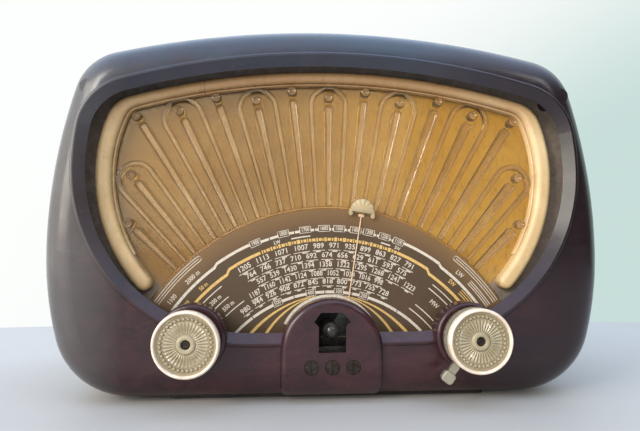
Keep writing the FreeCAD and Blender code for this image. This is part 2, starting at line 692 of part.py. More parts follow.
# ---- controls -----------------------------------------------------------------------------------
def knob_ring(side):
    """Cream ring round the rim of a knob."""
    x = side * KNOB_X
    ring = tube(x, KNOB_Z, KNOB_R, KNOB_R - KNOB_RING_WIDTH, KNOB_FRONT_Y, KNOB_FRONT_Y + 7)
    return ring.makeFillet(0.9, edges_at(ring, KNOB_FRONT_Y))


def knob_body(side, hub_back):
    """Clear disc with a raised centre and a hub pushed on the shaft."""
    x = side * KNOB_X
    inner = KNOB_R - KNOB_RING_WIDTH
    front = KNOB_FRONT_Y + 1.6
    profile = [(SHAFT_R, front - 0.4), (5.0, front - 0.4), (6.0, front + 0.4), (inner, front),
               (inner, front + 5.4), (7.0, front + 6.4), (7.0, hub_back), (SHAFT_R, hub_back)]
    points = [V(x + radius, y, KNOB_Z) for radius, y in profile]
    face = Part.Face(Part.makePolygon(points + points[:1]))
    return face.revolve(V(x, 0, KNOB_Z), ALONG_Y, 360)


def tuning_shaft():
    return rod(KNOB_X, KNOB_Z, SHAFT_R, KNOB_FRONT_Y + 3, DIAL_BACK_Y + 10)


def volume_shaft():
    return rod(-KNOB_X, KNOB_Z, SHAFT_R, KNOB_FRONT_Y + 3, RIM_FOOT_Y + 5)


def volume_control():
    """Potentiometer with mains switch, held in the left boss by its bush and nut."""
    x = -KNOB_X
    wall_back = RIM_FOOT_Y
    case = rod(x, KNOB_Z, 13, wall_back, wall_back + 10)
    bush = rod(x, KNOB_Z, 5.6, BOSS_FRONT_Y, wall_back)
    lugs = [block(x + offset - 1.5, x + offset + 1.5, wall_back + 4, wall_back + 5.5,
                  KNOB_Z - 19, KNOB_Z - 11) for offset in (-6, 0, 6)]
    bore = rod(x, KNOB_Z, SHAFT_R + FIT, BOSS_FRONT_Y - 1, wall_back + 6)
    return joined([case, bush] + lugs).cut(bore)


def band_lever():
    """Clear disc behind the tuning knob, with an arm down to a thumb pad."""
    back = LEVER_FRONT_Y + 3
    disc = rod(KNOB_X, KNOB_Z, LEVER_DISC_R, LEVER_FRONT_Y, back)
    half_arm = LEVER_ARM_WIDTH / 2
    half_pad = LEVER_PAD_WIDTH / 2
    arm = block(KNOB_X - half_arm, KNOB_X + half_arm, LEVER_FRONT_Y, back,
                KNOB_Z - LEVER_LENGTH, KNOB_Z)
    pad = block(KNOB_X - half_pad, KNOB_X + half_pad, LEVER_FRONT_Y - 1.5, back,
                KNOB_Z - LEVER_LENGTH - 3.8, KNOB_Z - LEVER_LENGTH + 3.8)
    pad = pad.makeFillet(2.4, [edge for edge in pad.Edges if len(edge.Vertexes) == 2
                               and abs(edge.Vertexes[0].Y - edge.Vertexes[1].Y) > 1])
    pad = pad.makeFillet(1.1, edges_at(pad, LEVER_FRONT_Y - 1.5))
    lever = joined([disc, arm, pad])
    lever = lever.cut(rod(KNOB_X, KNOB_Z, LEVER_TUBE_R, LEVER_FRONT_Y - 1, back + 1))
    lever.rotate(V(KNOB_X, 0, KNOB_Z), ALONG_Y, LEVER_REST_DEG)
    return lever


SWITCH_Y = -66.0


def band_switch_rotor():
    """Tube round the tuning shaft that carries the switch's moving disc."""
    sleeve = tube(KNOB_X, KNOB_Z, LEVER_TUBE_R, SHAFT_R + FIT, LEVER_FRONT_Y, SWITCH_Y + 5)
    disc = tube(KNOB_X, KNOB_Z, 12, SHAFT_R + FIT, SWITCH_Y, SWITCH_Y + 2)
    return joined([sleeve, disc])


def band_switch_wafer():
    """Fixed contact wafer of the band switch, with its lugs."""
    front = RIM_FOOT_Y
    wafer = tube(KNOB_X, KNOB_Z, 16, 6, front, front + 1.6)
    lugs = []
    for index in range(8):
        turn = math.radians(45 * index)
        lugs.append(rod(KNOB_X + 14 * math.cos(turn), KNOB_Z + 14 * math.sin(turn), 1.2,
                        front + 1.6, front + 5))
    return joined([wafer] + lugs)


# ---- lamp -----------------------------------------------------------------------------------------
def window_lamp():
    """Small round bulb facing the window."""
    bulb = Part.makeSphere(5.5, V(0, -70, LAMP_Z))
    neck = rod(0, LAMP_Z, 4.0, -68, -58)
    return bulb.fuse(neck).removeSplitter()


def lamp_holder():
    """Screw socket on a strip that stands on the dial stand's floor."""
    low = CHASSIS_LOW + 2 + SHEET
    socket = tube(0, LAMP_Z, 5.5, 4.0, -62, -50).fuse(rod(0, LAMP_Z, 5.5, -58, -50))
    strip = block(-4, 4, -50, -50 + SHEET, low, LAMP_Z + 5)
    foot = block(-4, 4, -50, -40, low, low + SHEET)
    return joined([socket, strip, foot])


# ---- chassis and what stands on it -------------------------------------------------------------------
def chassis():
    """Steel tray, open below, with feet on the cabinet floor."""
    tray = block(-CHASSIS_HALF, CHASSIS_HALF, CHASSIS_FRONT_Y, CHASSIS_BACK_Y, CHASSIS_LOW, CHASSIS_TOP)
    hollow = block(-CHASSIS_HALF + SHEET, CHASSIS_HALF - SHEET, CHASSIS_FRONT_Y + SHEET,
                   CHASSIS_BACK_Y - SHEET, CHASSIS_LOW - 1, CHASSIS_TOP - SHEET)
    tray = tray.cut(hollow)
    room = rounded_form(-WALL, FACE_Y + WALL, FRONT_ROUND_R - WALL, REAR_EDGE_Y)
    feet = [post(x, y, 7, CABINET_BOTTOM, CHASSIS_LOW + 8).common(room) for x, y in BOLTS]
    ties = [block(x - 8, x + 8, CHASSIS_FRONT_Y, CHASSIS_BACK_Y, CHASSIS_LOW, CHASSIS_LOW + SHEET)
            for x in (-95, 95)]
    holes = [post(x, y, 2, 0, 30) for x, y in BOLTS]
    return tray.fuse(ties + feet).cut(holes).removeSplitter()


def mains_transformer_core():
    """Stack of iron laminations with two windows for the coil."""
    core = block(-138, -74, 34, 66, CHASSIS_TOP, CHASSIS_TOP + 54)
    for x in (-127, -97):
        core = core.cut(block(x, x + 12, 33, 67, CHASSIS_TOP + 10, CHASSIS_TOP + 44))
    return core


def mains_transformer_coil():
    coil = block(-126.5, -85.5, 26, 74, CHASSIS_TOP + 10.5, CHASSIS_TOP + 43.5)
    coil = coil.makeFillet(4, upright_edges(coil))
    return coil.cut(block(-115, -97, 25, 75, CHASSIS_TOP + 9, CHASSIS_TOP + 45).common(
        block(-115, -97, 34, 66, 0, 200)))


VALVES = [("frequency_changer_valve", -50, 60, 12, 58), ("if_amplifier_valve", 5, 62, 11, 55),
          ("output_valve", 102, 62, 14, 76), ("rectifier_valve", 130, 40, 11, 62)]


def valve(x, y, radius, height):
    """Glass envelope with a domed top and a sealed tip, on a moulded base."""
    low = CHASSIS_TOP + 8
    envelope = post(x, y, radius, low, low + height)
    top = [edge for edge in envelope.Edges if all(v.Z > low + height - 0.1 for v in edge.Vertexes)]
    envelope = envelope.makeFillet(radius * 0.8, top)
    tip = Part.makeCone(2.2, 0.6, 5, V(x, y, low + height - 0.6))
    return joined([envelope, tip])


def valve_sockets():
    sockets = []
    for _, x, y, radius, _ in VALVES:
        sockets.append(post(x, y, radius + 2, CHASSIS_TOP, CHASSIS_TOP + 8))
    return Part.makeCompound(sockets)


def if_can(x, y):
    """Square screening can of a tuned transformer, with two trimmer holes."""
    can = block(x - 12, x + 12, y - 12, y + 12, CHASSIS_TOP, CHASSIS_TOP + 50)
    can = can.makeFillet(3, upright_edges(can))
    holes = [rod(x, CHASSIS_TOP + height, 2.5, y + 9, y + 13) for height in (14, 36)]
    return can.cut(holes)


def smoothing_capacitor():
    can = post(70, 62, 13, CHASSIS_TOP, CHASSIS_TOP + 60)
    top = [edge for edge in can.Edges if all(v.Z > CHASSIS_TOP + 59 for v in edge.Vertexes)]
    return can.makeFillet(2, top)


# ---- loudspeaker --------------------------------------------------------------------------------------
def revolved(profile):
    """Solid turned about the speaker's axis from (radius, y) corners."""
    points = [V(radius, y, SPEAKER_Z) for radius, y in profile]
    face = Part.Face(Part.makePolygon(points + points[:1]))
    return face.revolve(V(0, 0, SPEAKER_Z), ALONG_Y, 360)


def speaker_frame():
    """Pressed basket with four windows, its flange on the baffle board."""
    front = BAFFLE_BACK_Y
    basket = revolved([(SPEAKER_R, front), (SPEAKER_R, front + 2), (52, front + 2), (24, front + 34),
                       (24, front + 36), (8, front + 36), (8, front + 34), (22, front + 34),
                       (50, front + 2), (50, front)])
    windows = []
    for index in range(4):
        turn = math.radians(45 + 90 * index)
        windows.append(rod(37 * math.cos(turn), SPEAKER_Z + 37 * math.sin(turn), 9,
                           front + 5, front + 33))
    return basket.cut(windows)


def speaker_cone():
    """Paper cone with its rolled edge."""
    front = BAFFLE_BACK_Y
    return revolved([(49.5, front + 0.5), (49.5, front + 1.5), (45, front + 2.5), (12, front + 28),
                     (11, front + 28), (11, front + 27), (44, front + 1.2), (46, front + 0.5)])


def speaker_dust_cap():
    front = BAFFLE_BACK_Y
    return revolved([(0, front + 21), (6, front + 22.5), (11, front + 26), (11, front + 28),
                     (0, front + 28)])


def speaker_magnet():
    """Magnet pot bolted to the back of the basket."""
    front = BAFFLE_BACK_Y + 36
    pot = rod(0, SPEAKER_Z, 25, front, front + 24)
    return pot.makeFillet(2, edges_at(pot, front + 24))


def output_transformer():
    """Small transformer on a strap over the basket's side, fixed to the baffle board."""
    front = BAFFLE_BACK_Y
    core = block(82, 112, front + 8, front + 30, 160, 186)
    coil = block(86, 108, front + 3, front + 35, 166, 180)
    strap = block(74, 120, front, front + 2, 166, 180)
    legs = block(84, 110, front, front + 8, 164, 182)
    return joined([core, coil, strap, legs])


# ---- back -----------------------------------------------------------------------------------------------
COVER_SCREWS = [(-150, 206), (150, 206), (-176, 70), (176, 70)]
SOCKET_X = 60.0
SOCKET_Z = 34.0
SOCKET_PITCH = 14.0
SOCKET_R = 3.2
SOCKET_BORE_R = 2.0
SOCKET_DEPTH = 12.0
SOCKET_MOUTH_Y = COVER_BACK_Y - 1
SELECTOR_X = 0.0
INLET_X = -70.0


def slot(x, z, length, width):
    """Upright slot with round ends."""
    half = length / 2 - width / 2
    cut = block(x - width / 2, x + width / 2, REAR_EDGE_Y - 1, COVER_BACK_Y + 1, z - half, z + half)
    ends = [rod(x, z + side * half, width / 2, REAR_EDGE_Y - 1, COVER_BACK_Y + 1) for side in (-1, 1)]
    return joined([cut] + ends)


def rear_cover():
    """Pressed board with rows of upright slots, closing the back."""
    cover = prism(CABINET, -DRAFT - 1.5, REAR_EDGE_Y, COVER_BACK_Y)
    cuts = []
    for column in range(-9, 10):
        cuts.append(slot(column * 13.0, 200, 34, 4.2))
        cuts.append(slot(column * 13.0, 150, 34, 4.2))
    for column in range(-9, 10):
        if abs(column) > 1:
            cuts.append(slot(column * 13.0, 96, 30, 4.2))
    cuts.append(block(SOCKET_X - 32, SOCKET_X + 32, 90, 120, SOCKET_Z - 9, SOCKET_Z + 9))
    cuts.append(rod(SELECTOR_X, SOCKET_Z, 13, 90, 120))
    cuts.append(rod(INLET_X, SOCKET_Z, 7, 90, 120))
    for x, z in COVER_SCREWS:
        cuts.append(rod(x, z, 1.6, 90, 120))
    return cover.cut(cuts)


def cover_blocks():
    """Corner blocks inside the cabinet that the cover's screws bite into."""
    blocks = []
    for x, z in COVER_SCREWS:
        side = 1 if x > 0 else -1
        inner = block(x - 9, x + 9, REAR_EDGE_Y - 14, REAR_EDGE_Y, z - 9, z + 9)
        room = tapered(CABINET, -WALL, WIDEST_Y, -WALL - DRAFT, REAR_EDGE_Y)
        far = block(x + side * 3 - 14, x + side * 3 + 14, REAR_EDGE_Y - 14, REAR_EDGE_Y, z - 9, z + 9)
        piece = inner.fuse(far).common(room)
        blocks.append(piece.cut(rod(x, z, 1.5, 80, 120)).removeSplitter())
    return Part.makeCompound(blocks)


def cover_screws():
    screws = []
    for x, z in COVER_SCREWS:
        shank = rod(x, z, 1.5, REAR_EDGE_Y - 10, COVER_BACK_Y)
        head = rod(x, z, 3.5, COVER_BACK_Y, REAR_Y)
        nick = block(x - 4, x + 4, REAR_Y - 0.5, REAR_Y + 1, z - 0.4, z + 0.4)
        screws.append(shank.fuse(head).cut(nick))
    return Part.makeCompound(screws)


def socket_places():
    return [SOCKET_X + SOCKET_PITCH * step for step in (-1.5, -0.5, 0.5, 1.5)]


def aerial_socket_strip():
    """Insulating strip on the back of the chassis that holds the four plug sockets."""
    strip = block(SOCKET_X - 30, SOCKET_X + 30, CHASSIS_BACK_Y, SOCKET_MOUTH_Y - 3,
                  SOCKET_Z - 8, SOCKET_Z + 8)
    back = SOCKET_MOUTH_Y - SOCKET_DEPTH - 1
    holes = [rod(x, SOCKET_Z, SOCKET_R + 0.05, back, SOCKET_MOUTH_Y) for x in socket_places()]
    return strip.cut(holes)


def plug_sockets():
    """Four turned sockets with a flange at the strip, closed at their inner end."""
    sockets = []
    for x in socket_places():
        barrel = rod(x, SOCKET_Z, SOCKET_R, SOCKET_MOUTH_Y - SOCKET_DEPTH - 1, SOCKET_MOUTH_Y)
        flange = rod(x, SOCKET_Z, SOCKET_R + 1.4, SOCKET_MOUTH_Y - 3, SOCKET_MOUTH_Y - 1.5)
        bore = rod(x, SOCKET_Z, SOCKET_BORE_R, SOCKET_MOUTH_Y - SOCKET_DEPTH, SOCKET_MOUTH_Y + 1)
        sockets.append(barrel.fuse(flange).cut(bore))
    return Part.makeCompound(sockets)


def voltage_selector():
    """Round plug-in voltage selector on the back of the chassis."""
    body = rod(SELECTOR_X, SOCKET_Z, 12, CHASSIS_BACK_Y, COVER_BACK_Y - 2)
    cap = rod(SELECTOR_X, SOCKET_Z, 7, COVER_BACK_Y - 2, COVER_BACK_Y)
    groove = block(-6, 6, COVER_BACK_Y - 1, COVER_BACK_Y + 1, SOCKET_Z - 0.8, SOCKET_Z + 0.8)
    return joined([body, cap]).cut(groove)


def mains_grommet():
    """Rubber grommet in the rear cover for the mains lead."""
    body = rod(INLET_X, SOCKET_Z, 7, REAR_EDGE_Y, COVER_BACK_Y)
    flanges = [rod(INLET_X, SOCKET_Z, 9.5, REAR_EDGE_Y - 2, REAR_EDGE_Y),
               rod(INLET_X, SOCKET_Z, 9.5, COVER_BACK_Y, REAR_Y)]
    return joined([body] + flanges).cut(rod(INLET_X, SOCKET_Z, 3.5, 90, 120))


# ---- write every sub-part ------------------------------------------------------------------------------
def sub_parts():
    parts = {
        "cabinet": cabinet(), "dome_screws": dome_screws(), "base_plate": base_plate(),
        "base_bolts": base_bolts(), "bezel_frame": bezel_frame(),
        "grille_moulding": grille_moulding(), "speaker_cloth": speaker_cloth(),
        "baffle_board": baffle_board(), "baffle_screws": baffle_screws(),
        "dial_plate": dial_plate(), "dial_bracket": dial_bracket(), "cord_guide": cord_guide(),
        "cord_idler": cord_idler(), "drive_cord": drive_cord(), "pointer_carriage": pointer_carriage(),
        "pointer_shell": pointer_shell(), "pointer_needle": pointer_needle(),
        "drive_drum": drive_drum(), "gang_rotor": gang_rotor(), "gang_stator": gang_stator(),
        "gang_frame": gang_frame(), "tuning_knob_ring": knob_ring(1),
        "tuning_knob": knob_body(1, LEVER_FRONT_Y - 0.5), "tuning_shaft": tuning_shaft(),
        "volume_knob_ring": knob_ring(-1), "volume_knob": knob_body(-1, BOSS_FRONT_Y - 0.6),
        "volume_shaft": volume_shaft(), "volume_control": volume_control(),
        "band_lever": band_lever(), "band_switch_rotor": band_switch_rotor(),
        "band_switch_wafer": band_switch_wafer(), "window_lamp": window_lamp(),
        "lamp_holder": lamp_holder(), "chassis": chassis(),
        "mains_transformer_core": mains_transformer_core(),
        "mains_transformer_coil": mains_transformer_coil(), "valve_sockets": valve_sockets(),
        "if_can_first": if_can(-22, 50), "if_can_second": if_can(38, 58),
        "smoothing_capacitor": smoothing_capacitor(), "speaker_frame": speaker_frame(),
        "speaker_cone": speaker_cone(), "speaker_dust_cap": speaker_dust_cap(),
        "speaker_magnet": speaker_magnet(), "output_transformer": output_transformer(),
        "rear_cover": rear_cover(), "cover_blocks": cover_blocks(), "cover_screws": cover_screws(),
        "aerial_socket_strip": aerial_socket_strip(), "plug_sockets": plug_sockets(),
        "voltage_selector": voltage_selector(),
        "mains_grommet": mains_grommet(),
    }
    for name, x, y, radius, height in VALVES:
        parts[name] = valve(x, y, radius, height)
    return parts


os.makedirs("parts", exist_ok=True)
for node, shape in sub_parts().items():
    shape.exportStep("parts/" + node + ".step")
    box = shape.BoundBox
    print("%-24s solids %d valid %s volume %.0f  x %.1f %.1f  y %.1f %.1f  z %.1f %.1f" % (
        node, len(shape.Solids), shape.isValid(), shape.Volume,
        box.XMin, box.XMax, box.YMin, box.YMax, box.ZMin, box.ZMax))
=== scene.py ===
import json
import math

import bmesh
import bpy
from mathutils import Matrix, Vector
from mathutils.bvhtree import BVHTree


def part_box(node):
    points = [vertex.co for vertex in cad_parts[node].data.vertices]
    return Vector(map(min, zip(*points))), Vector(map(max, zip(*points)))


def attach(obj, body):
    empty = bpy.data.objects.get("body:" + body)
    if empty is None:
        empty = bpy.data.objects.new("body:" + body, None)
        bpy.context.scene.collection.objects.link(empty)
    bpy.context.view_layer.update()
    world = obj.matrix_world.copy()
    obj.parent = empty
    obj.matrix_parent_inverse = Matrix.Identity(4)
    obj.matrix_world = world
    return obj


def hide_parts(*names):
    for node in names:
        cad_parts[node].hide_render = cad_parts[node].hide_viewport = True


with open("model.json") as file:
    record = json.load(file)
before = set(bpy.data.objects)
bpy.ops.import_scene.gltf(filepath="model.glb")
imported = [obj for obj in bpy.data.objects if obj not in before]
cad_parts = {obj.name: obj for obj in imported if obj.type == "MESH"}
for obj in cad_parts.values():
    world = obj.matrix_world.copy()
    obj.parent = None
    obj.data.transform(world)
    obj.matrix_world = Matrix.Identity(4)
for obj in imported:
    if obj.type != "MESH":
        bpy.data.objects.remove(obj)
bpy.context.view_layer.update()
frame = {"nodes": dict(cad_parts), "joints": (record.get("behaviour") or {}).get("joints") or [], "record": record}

# Lengths are in millimetres and become metres in at() and polar(). Angles of the dial fan are in
# degrees from straight up, positive to the right seen from the front.
MM = 0.001


# ---- places read from the frame ------------------------------------------------------
def joint_place(name):
    found = [joint for joint in frame["joints"] if joint["name"] == name]
    return Vector(found[0]["pos_m"]) / MM


def node_box(name):
    low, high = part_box(name)
    return low / MM, high / MM


FAN = joint_place("pointer_sweep")
DIAL_LOW, DIAL_HIGH = node_box("dial_plate")
DIAL_Y = DIAL_LOW.y
DIAL_R = DIAL_HIGH.z - FAN.z
GRILLE_LOW, GRILLE_HIGH = node_box("grille_moulding")
PLATE_FRONT_Y = GRILLE_HIGH.y - 1.5
CLOTH_LOW, CLOTH_HIGH = node_box("speaker_cloth")
RIB_PITCH = 6.5
STUD_RADII = (227, 232.5, 230, 239, 240, 250.5, 219, 195)


def at(x, y, z):
    return Vector((x, y, z)) * MM


def polar(angle_deg, radius, y):
    turn = math.radians(angle_deg)
    return at(FAN.x + radius * math.sin(turn), y, FAN.z + radius * math.cos(turn))


# ---- meshes --------------------------------------------------------------------------
def piece(name, verts, faces, material, body, sharp_deg=35.0):
    mesh = bpy.data.meshes.new(name)
    mesh.from_pydata([tuple(v) for v in verts], [], faces)
    work = bmesh.new()
    work.from_mesh(mesh)
    bmesh.ops.remove_doubles(work, verts=work.verts, dist=1e-7)
    bmesh.ops.recalc_face_normals(work, faces=work.faces)
    work.to_mesh(mesh)
    work.free()
    mesh.polygons.foreach_set("use_smooth", [True] * len(mesh.polygons))
    mesh.set_sharp_from_angle(angle=math.radians(sharp_deg))
    mesh.materials.append(material)
    made = bpy.data.objects.new(name, mesh)
    bpy.context.scene.collection.objects.link(made)
    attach(made, body)
    return made


class Shell:
    """Collects vertices and faces of one piece."""

    def __init__(self):
        self.verts = []
        self.faces = []

    def add(self, verts, faces):
        first = len(self.verts)
        self.verts.extend(verts)
        self.faces.extend([tuple(first + index for index in face) for face in faces])

    def rings(self, rings, closed_ring=True, cap_start=True, cap_end=True):
        """Skin over rings of points that all have the same count."""
        count = len(rings[0])
        verts = [v for ring in rings for v in ring]
        faces = []
        steps = count if closed_ring else count - 1
        for row in range(len(rings) - 1):
            for col in range(steps):
                nxt = (col + 1) % count
                faces.append((row * count + col, row * count + nxt,
                              (row + 1) * count + nxt, (row + 1) * count + col))
        if cap_start:
            faces.append(tuple(range(count)))
        if cap_end:
            faces.append(tuple(range((len(rings) - 1) * count, len(rings) * count)))
        self.add(verts, faces)

    def lathe(self, centre_x, centre_z, profile, steps=48):
        """Turned solid about a line along Y, from (radius, y) pairs."""
        rings = []
        for index in range(steps):
            turn = 2 * math.pi * index / steps
            rings.append([at(centre_x + r * math.cos(turn), y, centre_z + r * math.sin(turn))
                          for r, y in profile])
        self.around(rings)

    def around(self, rings):
        """Skin over profiles that stand side by side all the way round."""
        count = len(rings[0])
        steps = len(rings)
        verts = [v for ring in rings for v in ring]
        faces = []
        for index in range(steps):
            after = (index + 1) % steps
            for col in range(count - 1):
                faces.append((index * count + col, index * count + col + 1,
                              after * count + col + 1, after * count + col))
        self.add(verts, faces)

    def strip(self, path, widths, heights, section, base_y):
        """Raised strip along path, a list of (x, z); section holds (across, height) shares."""
        rings = []
        for index, (x, z) in enumerate(path):
            back = path[max(index - 1, 0)]
            ahead = path[min(index + 1, len(path) - 1)]
            run = Vector((ahead[0] - back[0], ahead[1] - back[1])).normalized()
            side = Vector((run.y, -run.x))
            half = widths[index] / 2
            rings.append([at(x + side.x * half * across, base_y - heights[index] * rise,
                             z + side.y * half * across) for across, rise in section])
        self.rings(rings)


# ---- material tool -------------------------------------------------------------------
class Paint:
    """A Principled material with short calls that add nodes to it."""

    def __init__(self, name, **values):
        self.material = bpy.data.materials.new(name)
        self.material.use_nodes = True
        self.nodes = self.material.node_tree.nodes
        self.links = self.material.node_tree.links
        self.nodes.clear()
        out = self.nodes.new("ShaderNodeOutputMaterial")
        self.shader = self.nodes.new("ShaderNodeBsdfPrincipled")
        self.links.new(self.shader.outputs[0], out.inputs[0])
        self.place = self.nodes.new("ShaderNodeTexCoord").outputs["Object"]
        for key, value in values.items():
            self.shader.inputs[key.replace("_", " ")].default_value = value

    def stretched(self, stretch, turn=(0, 0, 0)):
        mapping = self.nodes.new("ShaderNodeMapping")
        mapping.inputs["Scale"].default_value = stretch
        mapping.inputs["Rotation"].default_value = turn
        self.links.new(self.place, mapping.inputs["Vector"])
        return mapping.outputs[0]

    def noise(self, scale, detail=3.0, distortion=0.0, stretch=(1, 1, 1), rough=0.55):
        node = self.nodes.new("ShaderNodeTexNoise")
        node.inputs["Scale"].default_value = scale
        node.inputs["Detail"].default_value = detail
        node.inputs["Distortion"].default_value = distortion
        node.inputs["Roughness"].default_value = rough
        self.links.new(self.stretched(stretch), node.inputs["Vector"])
        return node.outputs["Fac"]

    def cells(self, scale, feature="F1", stretch=(1, 1, 1)):
        node = self.nodes.new("ShaderNodeTexVoronoi")
        node.feature = feature
        node.inputs["Scale"].default_value = scale
        self.links.new(self.stretched(stretch), node.inputs["Vector"])
        return node.outputs["Distance"]

    def wave(self, scale, axis, distortion=0.0, turn=(0, 0, 0)):
        node = self.nodes.new("ShaderNodeTexWave")
        node.bands_direction = axis
        node.inputs["Scale"].default_value = scale
        node.inputs["Distortion"].default_value = distortion
        self.links.new(self.stretched((1, 1, 1), turn), node.inputs["Vector"])
        return node.outputs["Fac"]

    def ramp(self, value, *stops):
        node = self.nodes.new("ShaderNodeValToRGB")
        elements = node.color_ramp.elements
        while len(elements) < len(stops):
            elements.new(0.5)
        for element, (position, colour) in zip(elements, stops):
            element.position = position
            shade = (colour, colour, colour) if isinstance(colour, float) else colour
            element.color = (*shade, 1.0)
        self.links.new(value, node.inputs[0])
        return node.outputs[0]

    def mix(self, first, second, share, mode="MIX"):
        node = self.nodes.new("ShaderNodeMix")
        node.data_type = "RGBA"
        node.blend_type = mode
        node.clamp_factor = True
        self.feed(share, node.inputs[0])
        self.feed(first, node.inputs[6])
        self.feed(second, node.inputs[7])
        return node.outputs[2]

    def maths(self, operation, first, second=0.0):
        node = self.nodes.new("ShaderNodeMath")
        node.operation = operation
        self.feed(first, node.inputs[0])
        self.feed(second, node.inputs[1])
        return node.outputs[0]

    def feed(self, value, socket):
        if isinstance(value, bpy.types.NodeSocket):
            self.links.new(value, socket)
        elif isinstance(value, tuple):
            socket.default_value = (*value, 1.0)
        else:
            socket.default_value = value

    def to(self, socket, value):
        self.feed(value, self.shader.inputs[socket])

    def bump(self, height, strength, distance_mm):
        node = self.nodes.new("ShaderNodeBump")
        node.inputs["Strength"].default_value = strength
        node.inputs["Distance"].default_value = distance_mm * MM
        self.links.new(height, node.inputs["Height"])
        last = self.shader.inputs["Normal"]
        if last.is_linked:
            self.links.new(last.links[0].from_socket, node.inputs["Normal"])
        self.links.new(node.outputs[0], last)

    def from_fan(self):
        """Distance from the dial fan's centre, in metres."""
        node = self.nodes.new("ShaderNodeVectorMath")
        node.operation = "DISTANCE"
        flat = self.nodes.new("ShaderNodeVectorMath")
        flat.operation = "MULTIPLY"
        flat.inputs[1].default_value = (1, 0, 1)
        self.links.new(self.place, flat.inputs[0])
        self.links.new(flat.outputs[0], node.inputs[0])
        node.inputs[1].default_value = (FAN.x * MM, 0, FAN.z * MM)
        return node.outputs["Value"]


# ---- materials -----------------------------------------------------------------------
def bakelite():
    p = Paint("marbled_bakelite", IOR=1.5)
    cloud = p.noise(9, 4, 0.8)
    vein = p.noise(38, 6, 2.2, (1.0, 1.0, 1.6))
    base = p.ramp(cloud, (0.30, (0.022, 0.009, 0.010)), (0.55, (0.044, 0.014, 0.017)),
                  (0.78, (0.062, 0.018, 0.020)))
    marbled = p.mix(base, p.ramp(vein, (0.35, (0.014, 0.008, 0.009)), (0.70, (0.072, 0.022, 0.026))), 0.35)
    flecks = p.ramp(p.noise(620, 2), (0.70, 0.0), (0.80, 1.0))
    flecked = p.mix(marbled, (0.11, 0.085, 0.085), p.maths("MULTIPLY", flecks, 0.35))
    # Painted reflection: a bluish sheen along the top and a pale grey sheen on the left end, broken into patches.
    where = p.nodes.new("ShaderNodeSeparateXYZ")
    p.links.new(p.place, where.inputs[0])
    reflection_patches = p.ramp(p.noise(14, 4, 0.5), (0.30, 0.55), (0.70, 1.0))
    high = p.ramp(p.maths("MULTIPLY", where.outputs["Z"], 4.0), (0.62, 0.0), (0.98, 0.90))
    left = p.ramp(p.maths("MULTIPLY", where.outputs["X"], -5.0), (0.68, 0.0), (0.94, 0.95))
    blue_top_reflection = p.mix(flecked, (0.032, 0.055, 0.078), p.maths("MULTIPLY", high, reflection_patches))
    pale_left_reflection = p.mix(blue_top_reflection, (0.125, 0.128, 0.124), p.maths("MULTIPLY", left, reflection_patches))
    # Painted shade: the right end of the cabinet is made darker.
    right = p.ramp(p.maths("MULTIPLY", where.outputs["X"], 5.0), (0.35, 0.0), (0.80, 0.90))
    p.to("Base Color", p.mix(pale_left_reflection, (0.012, 0.006, 0.007), right))
    smear = p.noise(24, 5, 1.2, (1.0, 1.0, 2.5))
    p.to("Roughness", p.ramp(smear, (0.30, 0.16), (0.75, 0.30)))
    p.bump(p.noise(55, 3), 0.06, 0.5)
    p.bump(p.noise(900, 2), 0.05, 0.05)
    return p.material


# The bezel is joined this far left of the middle, in metres, as the material reads places.
SEAM_X = 0.0878


def cream():
    p = Paint("aged_cream_plastic_painted_top_shade", IOR=1.5, Subsurface_Weight=0.10, Subsurface_Scale=0.002)
    stain = p.noise(20, 5, 0.6)
    base = p.ramp(stain, (0.28, (0.54, 0.35, 0.16)), (0.52, (0.70, 0.50, 0.26)), (0.80, (0.80, 0.63, 0.37)))
    height = p.nodes.new("ShaderNodeSeparateXYZ")
    p.links.new(p.place, height.inputs[0])
    # Painted shade: the top of the bezel, shaded by the cabinet's rim, is made darker tan.
    top_shade_mask = p.ramp(p.maths("MULTIPLY", height.outputs["Z"], 4.0), (0.72, 0.0), (0.88, 0.80))
    toned_base = p.mix(base, (0.39, 0.205, 0.085), top_shade_mask)
    grime = p.ramp(p.noise(210, 4, 0.5), (0.62, 0.0), (0.80, 1.0))
    grimy = p.mix(toned_base, (0.30, 0.19, 0.09), p.maths("MULTIPLY", grime, 0.30))
    from_seam = p.maths("ABSOLUTE", p.maths("ADD", height.outputs["X"], SEAM_X))
    seam = p.ramp(p.maths("MULTIPLY", from_seam, 500.0), (0.15, 1.0), (0.35, 0.0))
    on_top = p.ramp(p.maths("MULTIPLY", height.outputs["Z"], 4.0), (0.70, 0.0), (0.74, 1.0))
    p.to("Base Color", p.mix(grimy, (0.32, 0.18, 0.08), p.maths("MULTIPLY", seam, on_top)))
    p.to("Roughness", p.ramp(p.noise(90, 3), (0.3, 0.22), (0.8, 0.38)))
    p.bump(p.noise(420, 3), 0.08, 0.08)
    return p.material


def knob_cream():
    p = Paint("pale_knob_ring", IOR=1.5, Subsurface_Weight=0.10, Subsurface_Scale=0.001)
    stain = p.noise(120, 4, 0.6)
    p.to("Base Color", p.ramp(stain, (0.30, (0.68, 0.53, 0.40)), (0.62, (0.86, 0.73, 0.60))))
    p.to("Roughness", p.ramp(p.noise(160, 3), (0.3, 0.22), (0.8, 0.40)))
    p.bump(p.noise(700, 2), 0.06, 0.05)
    return p.material


def clear(name, tint_low, tint_high, edge_tint, roughness, transmission, bending=1.49):
    """Yellowed clear moulding, darker where it is seen edge on."""
    p = Paint(name, IOR=bending, Transmission_Weight=transmission)
    tint = p.ramp(p.noise(30, 4, 0.5), (0.30, tint_low), (0.70, tint_high))
    edge = p.nodes.new("ShaderNodeLayerWeight")
    edge.inputs["Blend"].default_value = 0.35
    p.to("Base Color", p.mix(tint, edge_tint, p.ramp(edge.outputs["Facing"], (0.06, 0.0), (0.60, 1.0))))
    p.to("Roughness", p.ramp(p.noise(150, 3), (0.30, roughness * 0.7), (0.80, roughness * 1.5)))
    p.bump(p.noise(260, 2), 0.05, 0.10)
    return p.material


